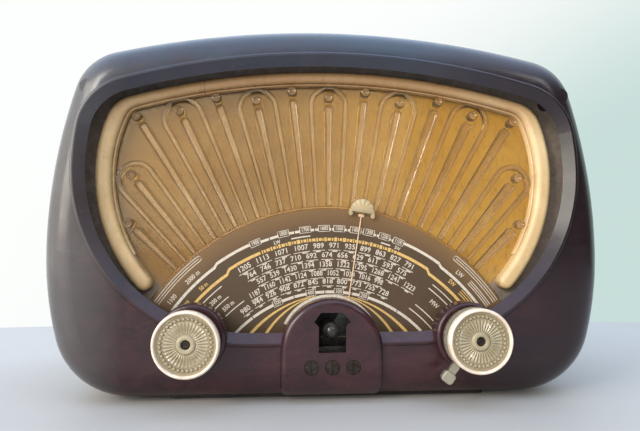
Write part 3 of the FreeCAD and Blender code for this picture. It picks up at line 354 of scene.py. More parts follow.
def cloth_weave():
    p = Paint("golden_speaker_cloth", Roughness=0.85, Sheen_Weight=0.10, Sheen_Roughness=0.5)
    upright = p.wave(620, "X", 1.2)
    level = p.wave(560, "Z", 1.2)
    thread = p.maths("MAXIMUM", upright, level)
    blotch = p.noise(16, 5, 0.7)
    golden = p.ramp(blotch, (0.25, (0.150, 0.078, 0.004)), (0.50, (0.205, 0.114, 0.008)),
                    (0.78, (0.270, 0.162, 0.015)))
    where = p.nodes.new("ShaderNodeSeparateXYZ")
    p.links.new(p.place, where.inputs[0])
    # Painted light: the cloth is made paler and brighter towards the right.
    across = p.maths("ADD", p.maths("MULTIPLY", where.outputs["X"], 4.0), 0.5)
    right_light_mask = p.ramp(across, (0.30, 0.0), (0.85, 1.0))
    right_lit = p.mix(golden, (0.500, 0.325, 0.060), right_light_mask)
    slub = p.noise(300, 3, 0.3, (1.0, 1.0, 0.40))
    streaked = p.mix(right_lit, (0.10, 0.048, 0.008), p.ramp(slub, (0.50, 0.0), (0.80, 0.55)))
    specks = p.ramp(p.cells(120), (0.05, 1.0), (0.11, 0.0))
    stain = p.ramp(p.noise(70, 2), (0.66, 0.0), (0.72, 1.0))
    dots = p.maths("MULTIPLY", specks, stain)
    dark = p.mix(streaked, (0.16, 0.08, 0.03), p.maths("MULTIPLY", dots, 0.8))
    gaps = p.maths("MULTIPLY", p.maths("SUBTRACT", 1.0, thread), 0.50)
    p.to("Base Color", p.mix(dark, (0.08, 0.040, 0.010), gaps))
    p.bump(thread, 0.5, 0.25)
    p.bump(slub, 0.3, 0.15)
    return p.material


def board(name, dark, pale, gloss=0.75):
    p = Paint(name, Roughness=gloss)
    fibre = p.noise(120, 6, 1.5)
    fleck = p.noise(900, 2)
    p.to("Base Color", p.mix(p.ramp(fibre, (0.3, dark), (0.75, pale)), dark,
                             p.ramp(fleck, (0.55, 0.0), (0.75, 0.6))))
    p.bump(p.noise(500, 4), 0.25, 0.15)
    return p.material


def dial_print():
    p = Paint("taupe_dial_plate", IOR=1.40)
    from_centre = p.from_fan()
    share = p.maths("MULTIPLY", from_centre, 1 / 0.2)
    zones = p.ramp(share, (0.30, (0.080, 0.044, 0.018)), (0.44, (0.078, 0.048, 0.026)),
                   (0.655, (0.080, 0.050, 0.027)), (0.672, (0.120, 0.070, 0.033)),
                   (0.735, (0.190, 0.108, 0.044)))
    patch = p.noise(14, 4, 0.8)
    toned_base = p.mix(zones, (0.140, 0.080, 0.055), p.ramp(patch, (0.52, 0.0), (0.75, 0.45)))
    mottle = p.noise(300, 3)
    p.to("Base Color", p.mix(toned_base, (0.10, 0.075, 0.06), p.ramp(mottle, (0.55, 0.0), (0.80, 0.35))))
    p.to("Roughness", p.ramp(p.noise(40, 3), (0.3, 0.30), (0.8, 0.48)))
    p.bump(p.noise(350, 2), 0.05, 0.05)
    return p.material


def ink(name, thin, full):
    p = Paint(name, Roughness=0.5)
    wear = p.noise(700, 3)
    p.to("Base Color", p.ramp(wear, (0.30, thin), (0.52, full)))
    p.bump(wear, 0.1, 0.02)
    return p.material


def metal(name, dark, pale, rough_low, rough_high, brushed=(1, 1, 6)):
    p = Paint(name, Metallic=1.0)
    grain = p.noise(260, 4, 0.2, brushed)
    dull = p.noise(45, 4, 0.6)
    p.to("Base Color", p.mix(p.ramp(grain, (0.3, dark), (0.7, pale)), dark,
                             p.ramp(dull, (0.5, 0.0), (0.8, 0.6))))
    p.to("Roughness", p.ramp(grain, (0.3, rough_low), (0.8, rough_high)))
    p.bump(grain, 0.08, 0.05)
    return p.material


def moulded(name, dark, pale, rough_low, rough_high):
    p = Paint(name)
    p.to("Base Color", p.ramp(p.noise(60, 5, 0.5), (0.3, dark), (0.75, pale)))
    p.to("Roughness", p.ramp(p.noise(140, 3), (0.3, rough_low), (0.8, rough_high)))
    p.bump(p.noise(600, 3), 0.12, 0.06)
    return p.material


def laminations():
    p = Paint("varnished_laminations", Metallic=0.4)
    sheets = p.wave(330, "Y", 0.4)
    rust = p.noise(70, 5)
    p.to("Base Color", p.mix(p.ramp(sheets, (0.3, (0.03, 0.028, 0.028)), (0.7, (0.12, 0.11, 0.105))),
                             (0.14, 0.06, 0.03), p.ramp(rust, (0.55, 0.0), (0.8, 0.5))))
    p.to("Roughness", p.ramp(rust, (0.3, 0.35), (0.8, 0.65)))
    p.bump(sheets, 0.4, 0.2)
    return p.material


def paper_winding():
    p = Paint("waxed_paper_winding")
    turns = p.wave(240, "Z", 0.6)
    p.to("Base Color", p.mix(p.ramp(p.noise(50, 4), (0.3, (0.20, 0.11, 0.04)), (0.75, (0.36, 0.22, 0.09))),
                             (0.10, 0.05, 0.02), p.ramp(turns, (0.1, 0.5), (0.4, 0.0))))
    p.to("Roughness", p.ramp(p.noise(90, 3), (0.3, 0.35), (0.8, 0.60)))
    p.bump(turns, 0.3, 0.2)
    return p.material


def blown_glass():
    p = Paint("blown_glass", IOR=1.45, Transmission_Weight=0.85)
    haze = p.noise(90, 4, 0.4)
    p.to("Base Color", p.ramp(haze, (0.35, (0.42, 0.42, 0.44)), (0.70, (0.80, 0.82, 0.84))))
    p.to("Roughness", p.ramp(haze, (0.35, 0.05), (0.8, 0.22)))
    p.bump(p.noise(80, 2), 0.05, 0.2)
    return p.material


def make_materials():
    return {
        "bakelite": bakelite(),
        "cream_plastic": cream(),
        "clear_plastic": clear("clear_grille", (0.88, 0.74, 0.50), (0.94, 0.84, 0.64),
                               (0.40, 0.23, 0.09), 0.06, 0.985, 1.38),
        "brown_board": board("pressed_board", (0.130, 0.098, 0.075), (0.270, 0.205, 0.155)),
        "dial_print": dial_print(),
        "sheet_steel": metal("plated_steel", (0.30, 0.29, 0.27), (0.56, 0.55, 0.52), 0.28, 0.50),
        "brass": metal("dull_brass", (0.36, 0.24, 0.09), (0.62, 0.45, 0.20), 0.25, 0.48),
        "rubber": moulded("aged_rubber", (0.012, 0.012, 0.012), (0.035, 0.033, 0.031), 0.6, 0.85),
        "dark_plastic": moulded("black_moulding", (0.008, 0.007, 0.007), (0.026, 0.022, 0.020), 0.35, 0.6),
        "glass": blown_glass(),
        "iron": laminations(),
        "winding": paper_winding(),
        "aluminium": metal("drawn_aluminium", (0.42, 0.42, 0.42), (0.72, 0.72, 0.72), 0.30, 0.50),
        "paper_cone": board("pressed_paper_cone", (0.018, 0.015, 0.013), (0.050, 0.042, 0.036), 0.9),
        "cord": board("waxed_cord", (0.36, 0.28, 0.16), (0.60, 0.50, 0.32), 0.8),
        "cloth": cloth_weave(),
    }


MATERIALS = make_materials()
BAR_CLEAR = clear("clear_grille_bars", (0.74, 0.63, 0.43), (0.90, 0.81, 0.62),
                  (0.28, 0.20, 0.11), 0.05, 0.965)
BEAD_GLASS = clear("clear_knob_disc", (0.40, 0.33, 0.20), (0.62, 0.52, 0.34),
                   (0.20, 0.15, 0.08), 0.10, 0.30)
LEVER_CLEAR = clear("clear_lever", (0.58, 0.53, 0.41), (0.76, 0.71, 0.57),
                    (0.30, 0.25, 0.16), 0.12, 0.65)
POINTER_CLEAR = clear("clear_pointer", (0.72, 0.56, 0.30), (0.90, 0.76, 0.50),
                      (0.40, 0.28, 0.12), 0.10, 0.50)
# Dark metal for the dome screws; on the lamp holder in the dome window and on the caps in the knob centres its
# darkness is painted shade.
DARK_METAL_AND_SHADE = metal("dark_metal_and_painted_shade", (0.030, 0.024, 0.020), (0.120, 0.095, 0.080), 0.35, 0.6)
# Painted shade: the bulb in the dome window is made dark grey, like the shaded inside of the dome.
DARK_BULB = moulded("bulb_painted_shade", (0.020, 0.019, 0.018), (0.110, 0.100, 0.095), 0.08, 0.25)
PALE_INK = ink("off_white_ink", (0.42, 0.35, 0.27), (0.64, 0.56, 0.45))
ORANGE_INK = ink("orange_ink", (0.44, 0.27, 0.09), (0.66, 0.42, 0.13))
RING_CREAM = knob_cream()
# Painted light: the baffle board gets a paler copy of the board colour, so the deep shaded gap between bezel and
# cabinet rim shows brown.
LIT_BOARD = board("fibre_board_painted_light", (0.25, 0.19, 0.15), (0.42, 0.34, 0.27))
NEEDLE = ink("orange_hairline", (0.55, 0.33, 0.18), (0.80, 0.54, 0.34))
OWN_MATERIAL = {
    "dome_screws": DARK_METAL_AND_SHADE,
    "baffle_board": LIT_BOARD,
    "pointer_needle": NEEDLE,
    "lamp_holder": DARK_METAL_AND_SHADE,
    "window_lamp": DARK_BULB,
    "band_lever": LEVER_CLEAR,
}


def dress_frame():
    """Gives every CAD node the material of its slot."""
    for sub in frame["record"]["subparts"]:
        node = frame["nodes"][sub["node"]]
        material = MATERIALS[sub["material_slot"]]
        for slot in node.material_slots:
            slot.material = OWN_MATERIAL.get(sub["node"], material)


# ---- speaker cloth -------------------------------------------------------------------
def cloth_spans(step_deg):
    """For each angle of the fan: where the cloth's CAD solid starts and ends, from the centre."""
    tree = BVHTree.FromObject(frame["nodes"]["speaker_cloth"], bpy.context.evaluated_depsgraph_get())
    y = (CLOTH_LOW.y + CLOTH_HIGH.y) / 2
    start = at(FAN.x, y, FAN.z)
    spans = []
    for index in range(-int(70 / step_deg), int(70 / step_deg) + 1):
        angle = index * step_deg
        way = (polar(angle, 1, y) - start).normalized()
        near = tree.ray_cast(start, way)
        if near[0] is None:
            continue
        far = tree.ray_cast(near[0] + way * 1e-5, way)
        if far[0] is not None:
            spans.append((angle, near[3] / MM, (near[3] + far[3]) / MM))
    return spans


def speaker_cloth(spans):
    rows = 60
    y = (CLOTH_LOW.y + CLOTH_HIGH.y) / 2
    rings = []
    for angle, near, far in spans:
        ring = []
        for row in range(rows + 1):
            radius = near + (far - near) * row / rows
            slack = 0.18 * math.sin(angle * 0.9) * math.sin(radius * 0.21)
            ring.append(polar(angle, radius, y + slack))
        rings.append(ring)
    shell = Shell()
    shell.rings(rings, closed_ring=False, cap_start=False, cap_end=False)
    cloth = piece("speaker_cloth_sheet", shell.verts, shell.faces, MATERIALS["cloth"], "case")
    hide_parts("speaker_cloth")


# ---- clear grille --------------------------------------------------------------------
ROUND_SECTION = [(-1.0, -0.1), (-0.96, 0.35), (-0.80, 0.70), (-0.50, 0.93), (0.0, 1.0),
                 (0.50, 0.93), (0.80, 0.70), (0.96, 0.35), (1.0, -0.1)]
BAR_SECTION = [(-1.0, -0.1), (-0.98, 0.50), (-0.90, 0.90), (-0.78, 1.0), (-0.66, 0.90), (-0.56, 0.55),
               (-0.44, 0.50), (0.0, 0.52), (0.44, 0.50), (0.56, 0.55), (0.66, 0.90), (0.78, 1.0),
               (0.90, 0.90), (0.98, 0.50), (1.0, -0.1)]


HAIRPIN_DROP = 4.5
HAIRPIN_FOOT_WIDTH = 3.0
HAIRPIN_WIDTH = 4.2
HAIRPIN_FOOT_HEIGHT = 1.9
HAIRPIN_HEIGHT = 3.4
RIB_FOOT_R = DIAL_R + 2.6
BAR_FOOT_WIDTH = 4.2
BAR_HEAD_WIDTH = 7.2
BAR_HEIGHT = 4.6
STUD_GAP = 5.0
PLATE_OVERLAP = 9.0


def flat_polar(angle_deg, radius):
    place = polar(angle_deg, radius, 0) / MM
    return place.x, place.z


def grille_bar(shell, angle, head_r):
    """Tapered bar with a rounded head."""
    foot_r, foot_width, head_width = RIB_FOOT_R, BAR_FOOT_WIDTH, BAR_HEAD_WIDTH
    steps = 14
    path, widths, heights = [], [], []
    for index in range(steps + 1):
        share = index / steps
        path.append(flat_polar(angle, foot_r + (head_r - head_width * 0.45 - foot_r) * share))
        widths.append(foot_width + (head_width - foot_width) * share)
        heights.append(BAR_HEIGHT * (0.55 + 0.45 * share))
    for share in (0.35, 0.62, 0.82, 0.94, 1.0):
        path.append(flat_polar(angle, head_r - head_width * 0.45 * (1 - share)))
        widths.append(head_width * math.sqrt(max(1 - share ** 2.4, 0.003)))
        heights.append(BAR_HEIGHT * math.sqrt(max(1 - share ** 4, 0.01)))
    shell.strip(path, widths, heights, BAR_SECTION, PLATE_FRONT_Y)


def grille_hairpin(shell, angle, radius):
    """Ridge up one side of a bar, over its stud and down the other side."""
    half = RIB_PITCH / 2
    middle_r = radius - HAIRPIN_DROP
    reach = middle_r * math.cos(math.radians(half))
    bend_r = middle_r * math.sin(math.radians(half))
    middle_x, middle_z = flat_polar(angle, middle_r)
    leg_steps, bend_steps = 12, 18
    up = [index / leg_steps for index in range(leg_steps)]
    rises = up + [1.0] * (bend_steps + 1) + up[::-1]
    path = [flat_polar(angle - half, RIB_FOOT_R + (reach - RIB_FOOT_R) * share) for share in up]
    for index in range(bend_steps + 1):
        turn = math.radians(angle - 90 + 180 * index / bend_steps)
        path.append((middle_x + bend_r * math.sin(turn), middle_z + bend_r * math.cos(turn)))
    path += [flat_polar(angle + half, RIB_FOOT_R + (reach - RIB_FOOT_R) * share) for share in up[::-1]]
    widths = [HAIRPIN_FOOT_WIDTH + (HAIRPIN_WIDTH - HAIRPIN_FOOT_WIDTH) * share for share in rises]
    heights = [HAIRPIN_FOOT_HEIGHT + (HAIRPIN_HEIGHT - HAIRPIN_FOOT_HEIGHT) * share for share in rises]
    shell.strip(path, widths, heights, ROUND_SECTION, PLATE_FRONT_Y)


def grille_stud(shell, angle, radius):
    x, z = flat_polar(angle, radius)
    top = GRILLE_LOW.y
    shell.lathe(x, z, [(0.0, PLATE_FRONT_Y + 0.2), (3.4, PLATE_FRONT_Y + 0.2), (3.45, top + 2.6),
                       (3.3, top + 1.2), (2.8, top + 0.35), (2.1, top), (1.5, top + 0.25),
                       (0.9, top + 0.9), (0.0, top + 1.1)], 28)


def grille(spans):
    shell = Shell()
    rings = []
    for angle, near, far in spans:
        if far < DIAL_R - PLATE_OVERLAP + 1.0:
            continue
        near = max(near, DIAL_R - PLATE_OVERLAP)
        rings.append([polar(angle, near, PLATE_FRONT_Y), polar(angle, far, PLATE_FRONT_Y),
                      polar(angle, far, GRILLE_HIGH.y), polar(angle, near, GRILLE_HIGH.y)])
    shell.rings(rings)
    arc = [flat_polar(angle, DIAL_R + 1.6) for angle in range(-56, 57, 2)]
    shell.strip(arc, [2.2] * len(arc), [1.6] * len(arc), ROUND_SECTION, PLATE_FRONT_Y)
    bars = Shell()
    for index, radius in enumerate(STUD_RADII):
        for side in ((1,) if index == 0 else (-1, 1)):
            angle = side * index * RIB_PITCH
            grille_stud(bars, angle, radius)
            grille_bar(bars, angle, radius - STUD_GAP)
            if index % 2 == 0:
                grille_hairpin(bars, angle, radius)
    raised = piece("grille_clear_bars", bars.verts, bars.faces, BAR_CLEAR, "case", sharp_deg=28)
    raised.visible_shadow = False
    made = piece("grille_clear_fan", shell.verts, shell.faces, MATERIALS["clear_plastic"], "case",
                 sharp_deg=28)
    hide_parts("grille_moulding")
    made.visible_shadow = False


LIP_LOW_Z = 96
LIP_WIDTH = 1.8
LIP_HEIGHT = 4.0


def bezel_lip(spans):
    """Thin tan lip inside the cream bezel."""
    path = [flat_polar(angle, far - 0.4) for angle, _, far in spans if far > DIAL_R]
    path = [place for place in path if place[1] > LIP_LOW_Z]
    shell = Shell()
    shell.strip(path, [LIP_WIDTH] * len(path), [LIP_HEIGHT] * len(path), ROUND_SECTION, PLATE_FRONT_Y)
    piece("bezel_inner_lip", shell.verts, shell.faces, MATERIALS["cream_plastic"], "case")


# ---- dial print ----------------------------------------------------------------------
PRINT_LIFT = 0.06
PRINT_Y = DIAL_Y - PRINT_LIFT


class Print:
    """Flat printed shapes on the dial plate, all of one ink."""

    def __init__(self):
        self.shell = Shell()

    def band(self, places):
        """Ribbon through (angle, lower radius, upper radius) places."""
        verts, faces = [], []
        for angle, low, high in places:
            verts.append(polar(angle, low, PRINT_Y))
            verts.append(polar(angle, high, PRINT_Y))
        for index in range(len(places) - 1):
            first = 2 * index
            faces.append((first, first + 1, first + 3, first + 2))
        self.shell.add(verts, faces)

    def arc(self, start, end, middle_r, width):
        steps = max(1, int(abs(end - start) / 1.5))
        self.band([(start + (end - start) * index / steps, middle_r - width / 2, middle_r + width / 2)
                   for index in range(steps + 1)])

    def box(self, start, end, low, high, line):
        """Outlined cell."""
        across = math.degrees(line / low)
        self.arc(start, end, low + line / 2, line)
        self.arc(start, end, high - line / 2, line)
        for left in (start, end - across):
            self.band([(left, low + line, high - line), (left + across, low + line, high - line)])

    def text(self, words, angle, radius, height, squeeze=0.85):
        curve = bpy.data.curves.new("letters", "FONT")
        curve.body = words
        curve.size = height * MM * 1.38
        curve.align_x = "CENTER"
        curve.align_y = "CENTER"
        curve.resolution_u = 2
        curve.offset = 0.00007
        letters = bpy.data.objects.new("letters", curve)
        bpy.context.scene.collection.objects.link(letters)
        mesh = bpy.data.meshes.new_from_object(letters)
        upright = Matrix.Rotation(math.radians(90), 4, "X")
        tilt = Matrix.Rotation(math.radians(angle), 4, "Y")
        shape = Matrix.Diagonal((squeeze, 1, 1, 1))
        move = Matrix.Translation(polar(angle, radius, PRINT_Y))
        whole = move @ tilt @ upright @ shape
        self.shell.add([whole @ v.co for v in mesh.vertices], [tuple(f.vertices) for f in mesh.polygons])
        bpy.data.objects.remove(letters)
        bpy.data.meshes.remove(mesh)
        bpy.data.curves.remove(curve)

    def finish(self, name, material):
        return piece(name, self.shell.verts, self.shell.faces, material, "case")


BAND_CELLS = (-22.8, -14.0, -7.3, -1.6, 3.0, 8.0, 12.1, 17.0, 21.6)
BAND_NUMBERS = ("1900", "1800", "1700", "1600", "1500", "1400", "1300", "1200", "1100")
CELL_HALF = 1.75
INNER_CELL_HALF = 2.2
OUTER_RING_R = 133.7
INNER_RING_R = 89.0
ORANGE_RING_R = 125.6
LETTER_WIDTH = 2.9
INNER_CELLS = (-23.8, -8.3, 4.2, 15.7)
INNER_NUMBERS = ("500", "400", "300", "200")
ROWS = ((121.2, -32.0, 31.0), (114.7, -30.5, 29.8), (108.2, -28.0, 35.2), (102.0, -33.2, 22.8),
        (96.3, -39.5, 27.0))
ROW_WORDS = (("1205", "1113", "1071", "1007", "989", "971", "935", "899", "863", "827", "791"),
             ("764", "746", "737", "710", "692", "674", "656", "629", "611", "593", "575"),
             ("557", "539", "1430", "1394", "1358", "1322", "1295", "1268", "1241", "1223"),
             ("1187", "1160", "1142", "1124", "1088", "1052", "1034", "1016", "998"),
             ("980", "944", "926", "908", "872", "845", "818", "800", "773", "755", "728"))


def outer_scale(white):
    for side in (-1, 1):
        white.arc(side * 37.0, side * 55.2, 132.3, 1.9)
        white.band([(side * 37.0, 131.35, 133.25), (side * 35.6, 132.75, 134.65)])
    white.arc(-35.6, BAND_CELLS[0] - CELL_HALF, OUTER_RING_R, 1.9)
    white.arc(BAND_CELLS[-1] + CELL_HALF, 35.6, OUTER_RING_R, 1.9)
    for before, after in zip(BAND_CELLS, BAND_CELLS[1:]):
        start = before + CELL_HALF
        end = after - CELL_HALF
        middle = (start + end) / 2
        white.arc(start, middle - 0.15, 132.6, 1.7)
        white.arc(middle + 0.15, end, 132.6, 1.7)
    for angle, number in zip(BAND_CELLS, BAND_NUMBERS):
        white.box(angle - CELL_HALF, angle + CELL_HALF, 131.0, 135.6, 0.4)
        white.text(number, angle, 133.3, 2.9, 0.72)


def inner_scale(white):
    edges = [-47.0]
    for angle in INNER_CELLS:
        edges.extend([angle - INNER_CELL_HALF, angle + INNER_CELL_HALF])
    edges.append(46.5)
    for start, end in zip(edges[::2], edges[1::2]):
        middle = (start + end) / 2
        white.arc(start, middle - 0.2, INNER_RING_R, 1.9)
        white.arc(middle + 0.2, end, INNER_RING_R, 1.9)
    for angle, number in zip(INNER_CELLS, INNER_NUMBERS):
        white.box(angle - INNER_CELL_HALF, angle + INNER_CELL_HALF, 87.0, 91.6, 0.4)
        white.text(number, angle, 89.3, 2.9, 0.8)


def caption_rows(white):
    for (radius, start, end), words in zip(ROWS, ROW_WORDS):
        letters = sum(len(word) + 1.0 for word in words)
        pitch = (end - start) / letters
        place = start
        for index, word in enumerate(words):
            span = (len(word) + 0.3) * pitch
            room = math.radians(span) * radius
            natural = len(word) * LETTER_WIDTH
            white.text(word, place + span / 2, radius, 3.7, min(1.0, room / natural))
            white.arc(place + 0.1, place + span, radius - 3.1, 0.45)
            dash = place + span * (0.25 + 0.1 * (index % 4))
            white.arc(dash, dash + 1.7, radius - 3.9, 0.8)
            place += (len(word) + 1.0) * pitch


def left_group(white, orange):
    white.text("1100", -52.0, 136.9, 3.3)
    white.text("2000 m", -43.5, 136.9, 3.3)
    orange.text("20", -50.0, 127.2, 2.8)
    orange.text("50 m", -43.0, 127.2, 2.8)
    white.arc(-47.5, -38.6, 119.3, 0.7)
    white.text("200 m", -43.2, 114.6, 3.1)
    white.arc(-46.0, -39.0, 110.7, 0.7)
    white.text("550 m", -41.2, 105.8, 3.1)
    white.arc(-44.5, -35.4, 101.9, 0.7)


def right_group(white, orange):
    white.text("LW", 42.6, 137.2, 3.4)
    orange.text("SW", 42.6, 128.6, 3.2)
    white.text("MW", 42.8, 109.0, 3.4)
    for radius in (139.4, 137.9, 136.4):
        white.arc(46.3, 55.2, radius, 0.6)
    for radius in (130.2, 128.5, 126.9):
        orange.arc(46.3, 53.5, radius, 0.6)
    for start, radius in ((38.0, 118.9), (37.6, 115.2), (37.2, 100.3), (36.0, 95.6)):
        white.arc(start, 50.0, radius, 0.7)


def edge_hairpins(white):
    for side in (-1, 1):
        for radius in (145.6, 143.9, 142.2):
            white.arc(side * 38.9, side * 55.4, radius, 0.5)
        bend = []
        for index in range(9):
            turn = math.pi * index / 8
            bend.append((side * (38.9 - 0.75 * math.sin(turn)), 143.9 + 1.7 * math.cos(turn)))
        for before, after in zip(bend, bend[1:]):
            white.band([(angle, radius - 0.3, radius + 0.3) for angle, radius in (before, after)])


def orange_scale(orange):
    for side in (-1, 1):
        orange.arc(side * 35.0, side * 50.5, 123.4, 2.0)
        orange.band([(side * 35.0, 122.4, 124.4), (side * 33.6, 124.6, 126.6)])
        orange.arc(side * 22.5, side * 33.6, ORANGE_RING_R, 2.0)
    angle = -22.0
    index = 0
    while angle < 21.5:
        length = 0.35 + 0.9 * ((index * 7) % 5) / 5
        orange.arc(angle, angle + length, ORANGE_RING_R, 2.0 + 0.7 * (index % 3 == 0))
        angle += length + 0.28
        index += 1


def low_fans(orange):
    for side in (-1, 1):
        for reach, start_r, end_r, start in ((43.0, 86.7, 81.2, 7.0), (37.0, 86.0, 74.2, 9.0)):
            places = []
            for index in range(13):
                share = index / 12
                radius = start_r + (end_r - start_r) * share ** 1.25
                half = 0.25 + 0.85 * share
                places.append((side * (start + (reach - start) * share), radius - half, radius + half))
            orange.band(places)


def dome_halo(white):
    """Pale crescent on the plate behind the dome's top."""
    dome_z = DIAL_LOW.z - 3.0
    verts, faces = [], []
    for index in range(33):
        turn = math.radians(-64 + 4 * index)
        for radius in (31.0, 35.2):
            x, z = radius * math.sin(turn), dome_z + radius * math.cos(turn)
            verts.append(at(x, PRINT_Y, max(z, DIAL_LOW.z + 0.5)))
    for index in range(32):
        first = 2 * index
        faces.append((first, first + 1, first + 3, first + 2))
    white.shell.add(verts, faces)


def dial_printing():
    white, orange = Print(), Print()
    outer_scale(white)
    inner_scale(white)
    caption_rows(white)
    left_group(white, orange)
    right_group(white, orange)
    edge_hairpins(white)
    dome_halo(white)
    orange_scale(orange)
    low_fans(orange)
    white.arc(-12.0, -6.0, 128.6, 0.9)
    white.arc(16.5, 19.6, 128.6, 0.9)
    white.text("LW", -16.5, 128.6, 2.6)
    white.text("SW", 22.0, 128.6, 2.4)
    white.finish("dial_print_white", PALE_INK)
    orange.finish("dial_print_orange", ORANGE_INK)


# ---- knobs ---------------------------------------------------------------------------
def knob(control, disc_node, ring_node, body):
    """Clear fluted disc with a ring of beads, its cream rim, and a dark cap in the centre hole for the shaft end
    and painted shade.
    """
    low, high = node_box(ring_node)
    x, z = (low.x + high.x) / 2, (low.z + high.z) / 2
    front = low.y
    outer = (high.x - low.x) / 2
    inner = node_box(disc_node)[1].x - x
    hub_back = node_box(disc_node)[1].y
    shell = Shell()
    flutes = 36
    steps = flutes * 6
    profile = [(2.7, hub_back), (7.0, hub_back), (7.0, front + 8.0), (inner, front + 7.0),
               (inner, front + 2.2), (17.2, front + 1.8), (16.8, front + 2.3), (13.9, front + 2.4),
               (13.4, front + 1.9), (12.2, front + 1.7), (9.4, front + 1.65), (6.8, front + 1.6),
               (6.2, front + 2.0), (5.7, front + 1.3), (5.2, front + 0.9), (3.7, front + 0.8),
               (3.1, front + 1.1), (2.75, front + 1.8), (2.7, front + 4.5), (0.0, front + 4.6)]
    # How deep the flutes cut at each place of the profile that they cross.
    fluted = {8: 0.3, 9: 0.9, 10: 1.0, 11: 0.55}
    rings = []
    for index in range(steps):
        turn = 2 * math.pi * index / steps
        crest = abs(((flutes * index / steps) % 1.0) * 2 - 1)
        ring = []
        for number, (radius, y) in enumerate(profile):
            dip = 0.8 * fluted.get(number, 0.0) * crest
            ring.append(at(x + radius * math.cos(turn), y + dip, z + radius * math.sin(turn)))
        rings.append(ring)
    shell.around(rings)
    beads = 36
    for index in range(beads):
        turn = 2 * math.pi * (index + 0.5) / beads
        bx, bz = x + 15.4 * math.cos(turn), z + 15.4 * math.sin(turn)
        shell.lathe(bx, bz, [(1.15, front + 2.5), (1.1, front + 1.8), (0.8, front + 1.25),
                             (0.4, front + 1.0), (0.0, front + 0.95)], 12)
    disc = piece(control + "_knob_disc", shell.verts, shell.faces, BEAD_GLASS, body, sharp_deg=40)
    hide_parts(disc_node)
    rim = Shell()
    rim.lathe(x, z, [(inner, front + 7.0), (inner, front + 1.5), (inner + 0.2, front + 0.6),
                     (inner + 0.6, front + 0.12), (inner + 1.1, front), (outer - 0.7, front + 0.2),
                     (outer - 0.3, front + 0.8), (outer, front + 1.8), (outer, front + 5.6),
                     (outer - 0.3, front + 6.6), (outer - 0.9, front + 7.0), (inner, front + 7.0)], 96)
    ring = piece(control + "_knob_rim", rim.verts, rim.faces, RING_CREAM, body)
    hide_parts(ring_node)
    # Dark cap in the centre hole: the shaft end, and painted shade in the hole.
    end = Shell()
    end.lathe(x, z, [(0.0, front + 2.1), (2.1, front + 2.1), (2.6, front + 2.5), (2.6, front + 3.0),
                     (0.0, front + 3.0)], 32)
    piece(control + "_shaft_end_and_hole_shade", end.verts, end.faces, DARK_METAL_AND_SHADE, body)


# ---- pointer -------------------------------------------------------------------------
POINTER_DEG = 9.0


def pointer():
    low, high = node_box("pointer_shell")
    front, back = low.y, high.y
    shell = Shell()
    lobes = 7
    steps = 56
    centre_x, centre_z = flat_polar(POINTER_DEG, DIAL_R + 0.3)
    rings = []
    for layer, (scale, y) in enumerate(((1.0, back), (1.0, back - 0.7), (0.93, front + 0.5),
                                        (0.80, front), (0.30, front + 0.1))):
        ring = []
        for index in range(steps + 1):
            share = index / steps
            turn = math.radians(POINTER_DEG - 100 + 200 * share)
            scallop = 8.6 + 0.4 * abs(math.sin(math.pi * lobes * share))
            groove = 0.5 * (1 - abs(math.sin(math.pi * lobes * share))) if layer in (2, 3) else 0.0
            radius = scallop * scale
            ring.append(at(centre_x + radius * math.sin(turn), y + groove,
                           centre_z + radius * math.cos(turn)))
        rings.append(ring)
    shell.rings(rings)
    for side in (-1, 1):
        angle = POINTER_DEG + side * math.degrees(8.0 / DIAL_R)
        x, z = flat_polar(angle, DIAL_R - 2.4)
        shell.lathe(x, z, [(0.0, back), (1.7, back), (1.7, back - 1.5), (1.2, back - 2.1),
                           (0.0, back - 2.2)], 18)
        top_x, top_z = flat_polar(angle, DIAL_R + 0.5)
        shell.strip([(x, z), (top_x, top_z)], [3.4, 3.4], [2.0, 2.0], ROUND_SECTION, back)
    made = piece("pointer_scallop", shell.verts, shell.faces, POINTER_CLEAR, "pointer", sharp_deg=30)
    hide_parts("pointer_shell")


# ---- stage, light and camera ---------------------------------------------------------
def floor():
    verts, faces = [], []
    steps = 64
    half_width, half_depth, centre_y = 2.2, 1.95, -1.6
    for index in range(steps):
        turn = 2 * math.pi * index / steps
        verts.append(Vector((half_width * math.cos(turn), centre_y + half_depth * math.sin(turn), 0.0)))
    faces.append(tuple(range(steps)))
    mesh = bpy.data.meshes.new("table_top")
    mesh.from_pydata([tuple(v) for v in verts], [], faces)
    p = Paint("pale_table", Roughness=0.55)
    p.to("Base Color", p.ramp(p.noise(3, 3), (0.3, (0.450, 0.430, 0.402)), (0.7, (0.490, 0.470, 0.442))))
    p.bump(p.noise(200, 2), 0.03, 0.1)
    mesh.materials.append(p.material)
    made = bpy.data.objects.new("table_top", mesh)
    bpy.context.scene.collection.objects.link(made)


def area_light(name, place, target, size, power, colour, mirrored=True):
    data = bpy.data.lights.new(name, "AREA")
    data.shape = "RECTANGLE"
    data.size, data.size_y = size
    data.energy = power
    data.color = colour
    made = bpy.data.objects.new(name, data)
    made.location = place
    made.rotation_euler = (Vector(target) - Vector(place)).to_track_quat("-Z", "Y").to_euler()
    made.visible_glossy = mirrored
    bpy.context.scene.collection.objects.link(made)


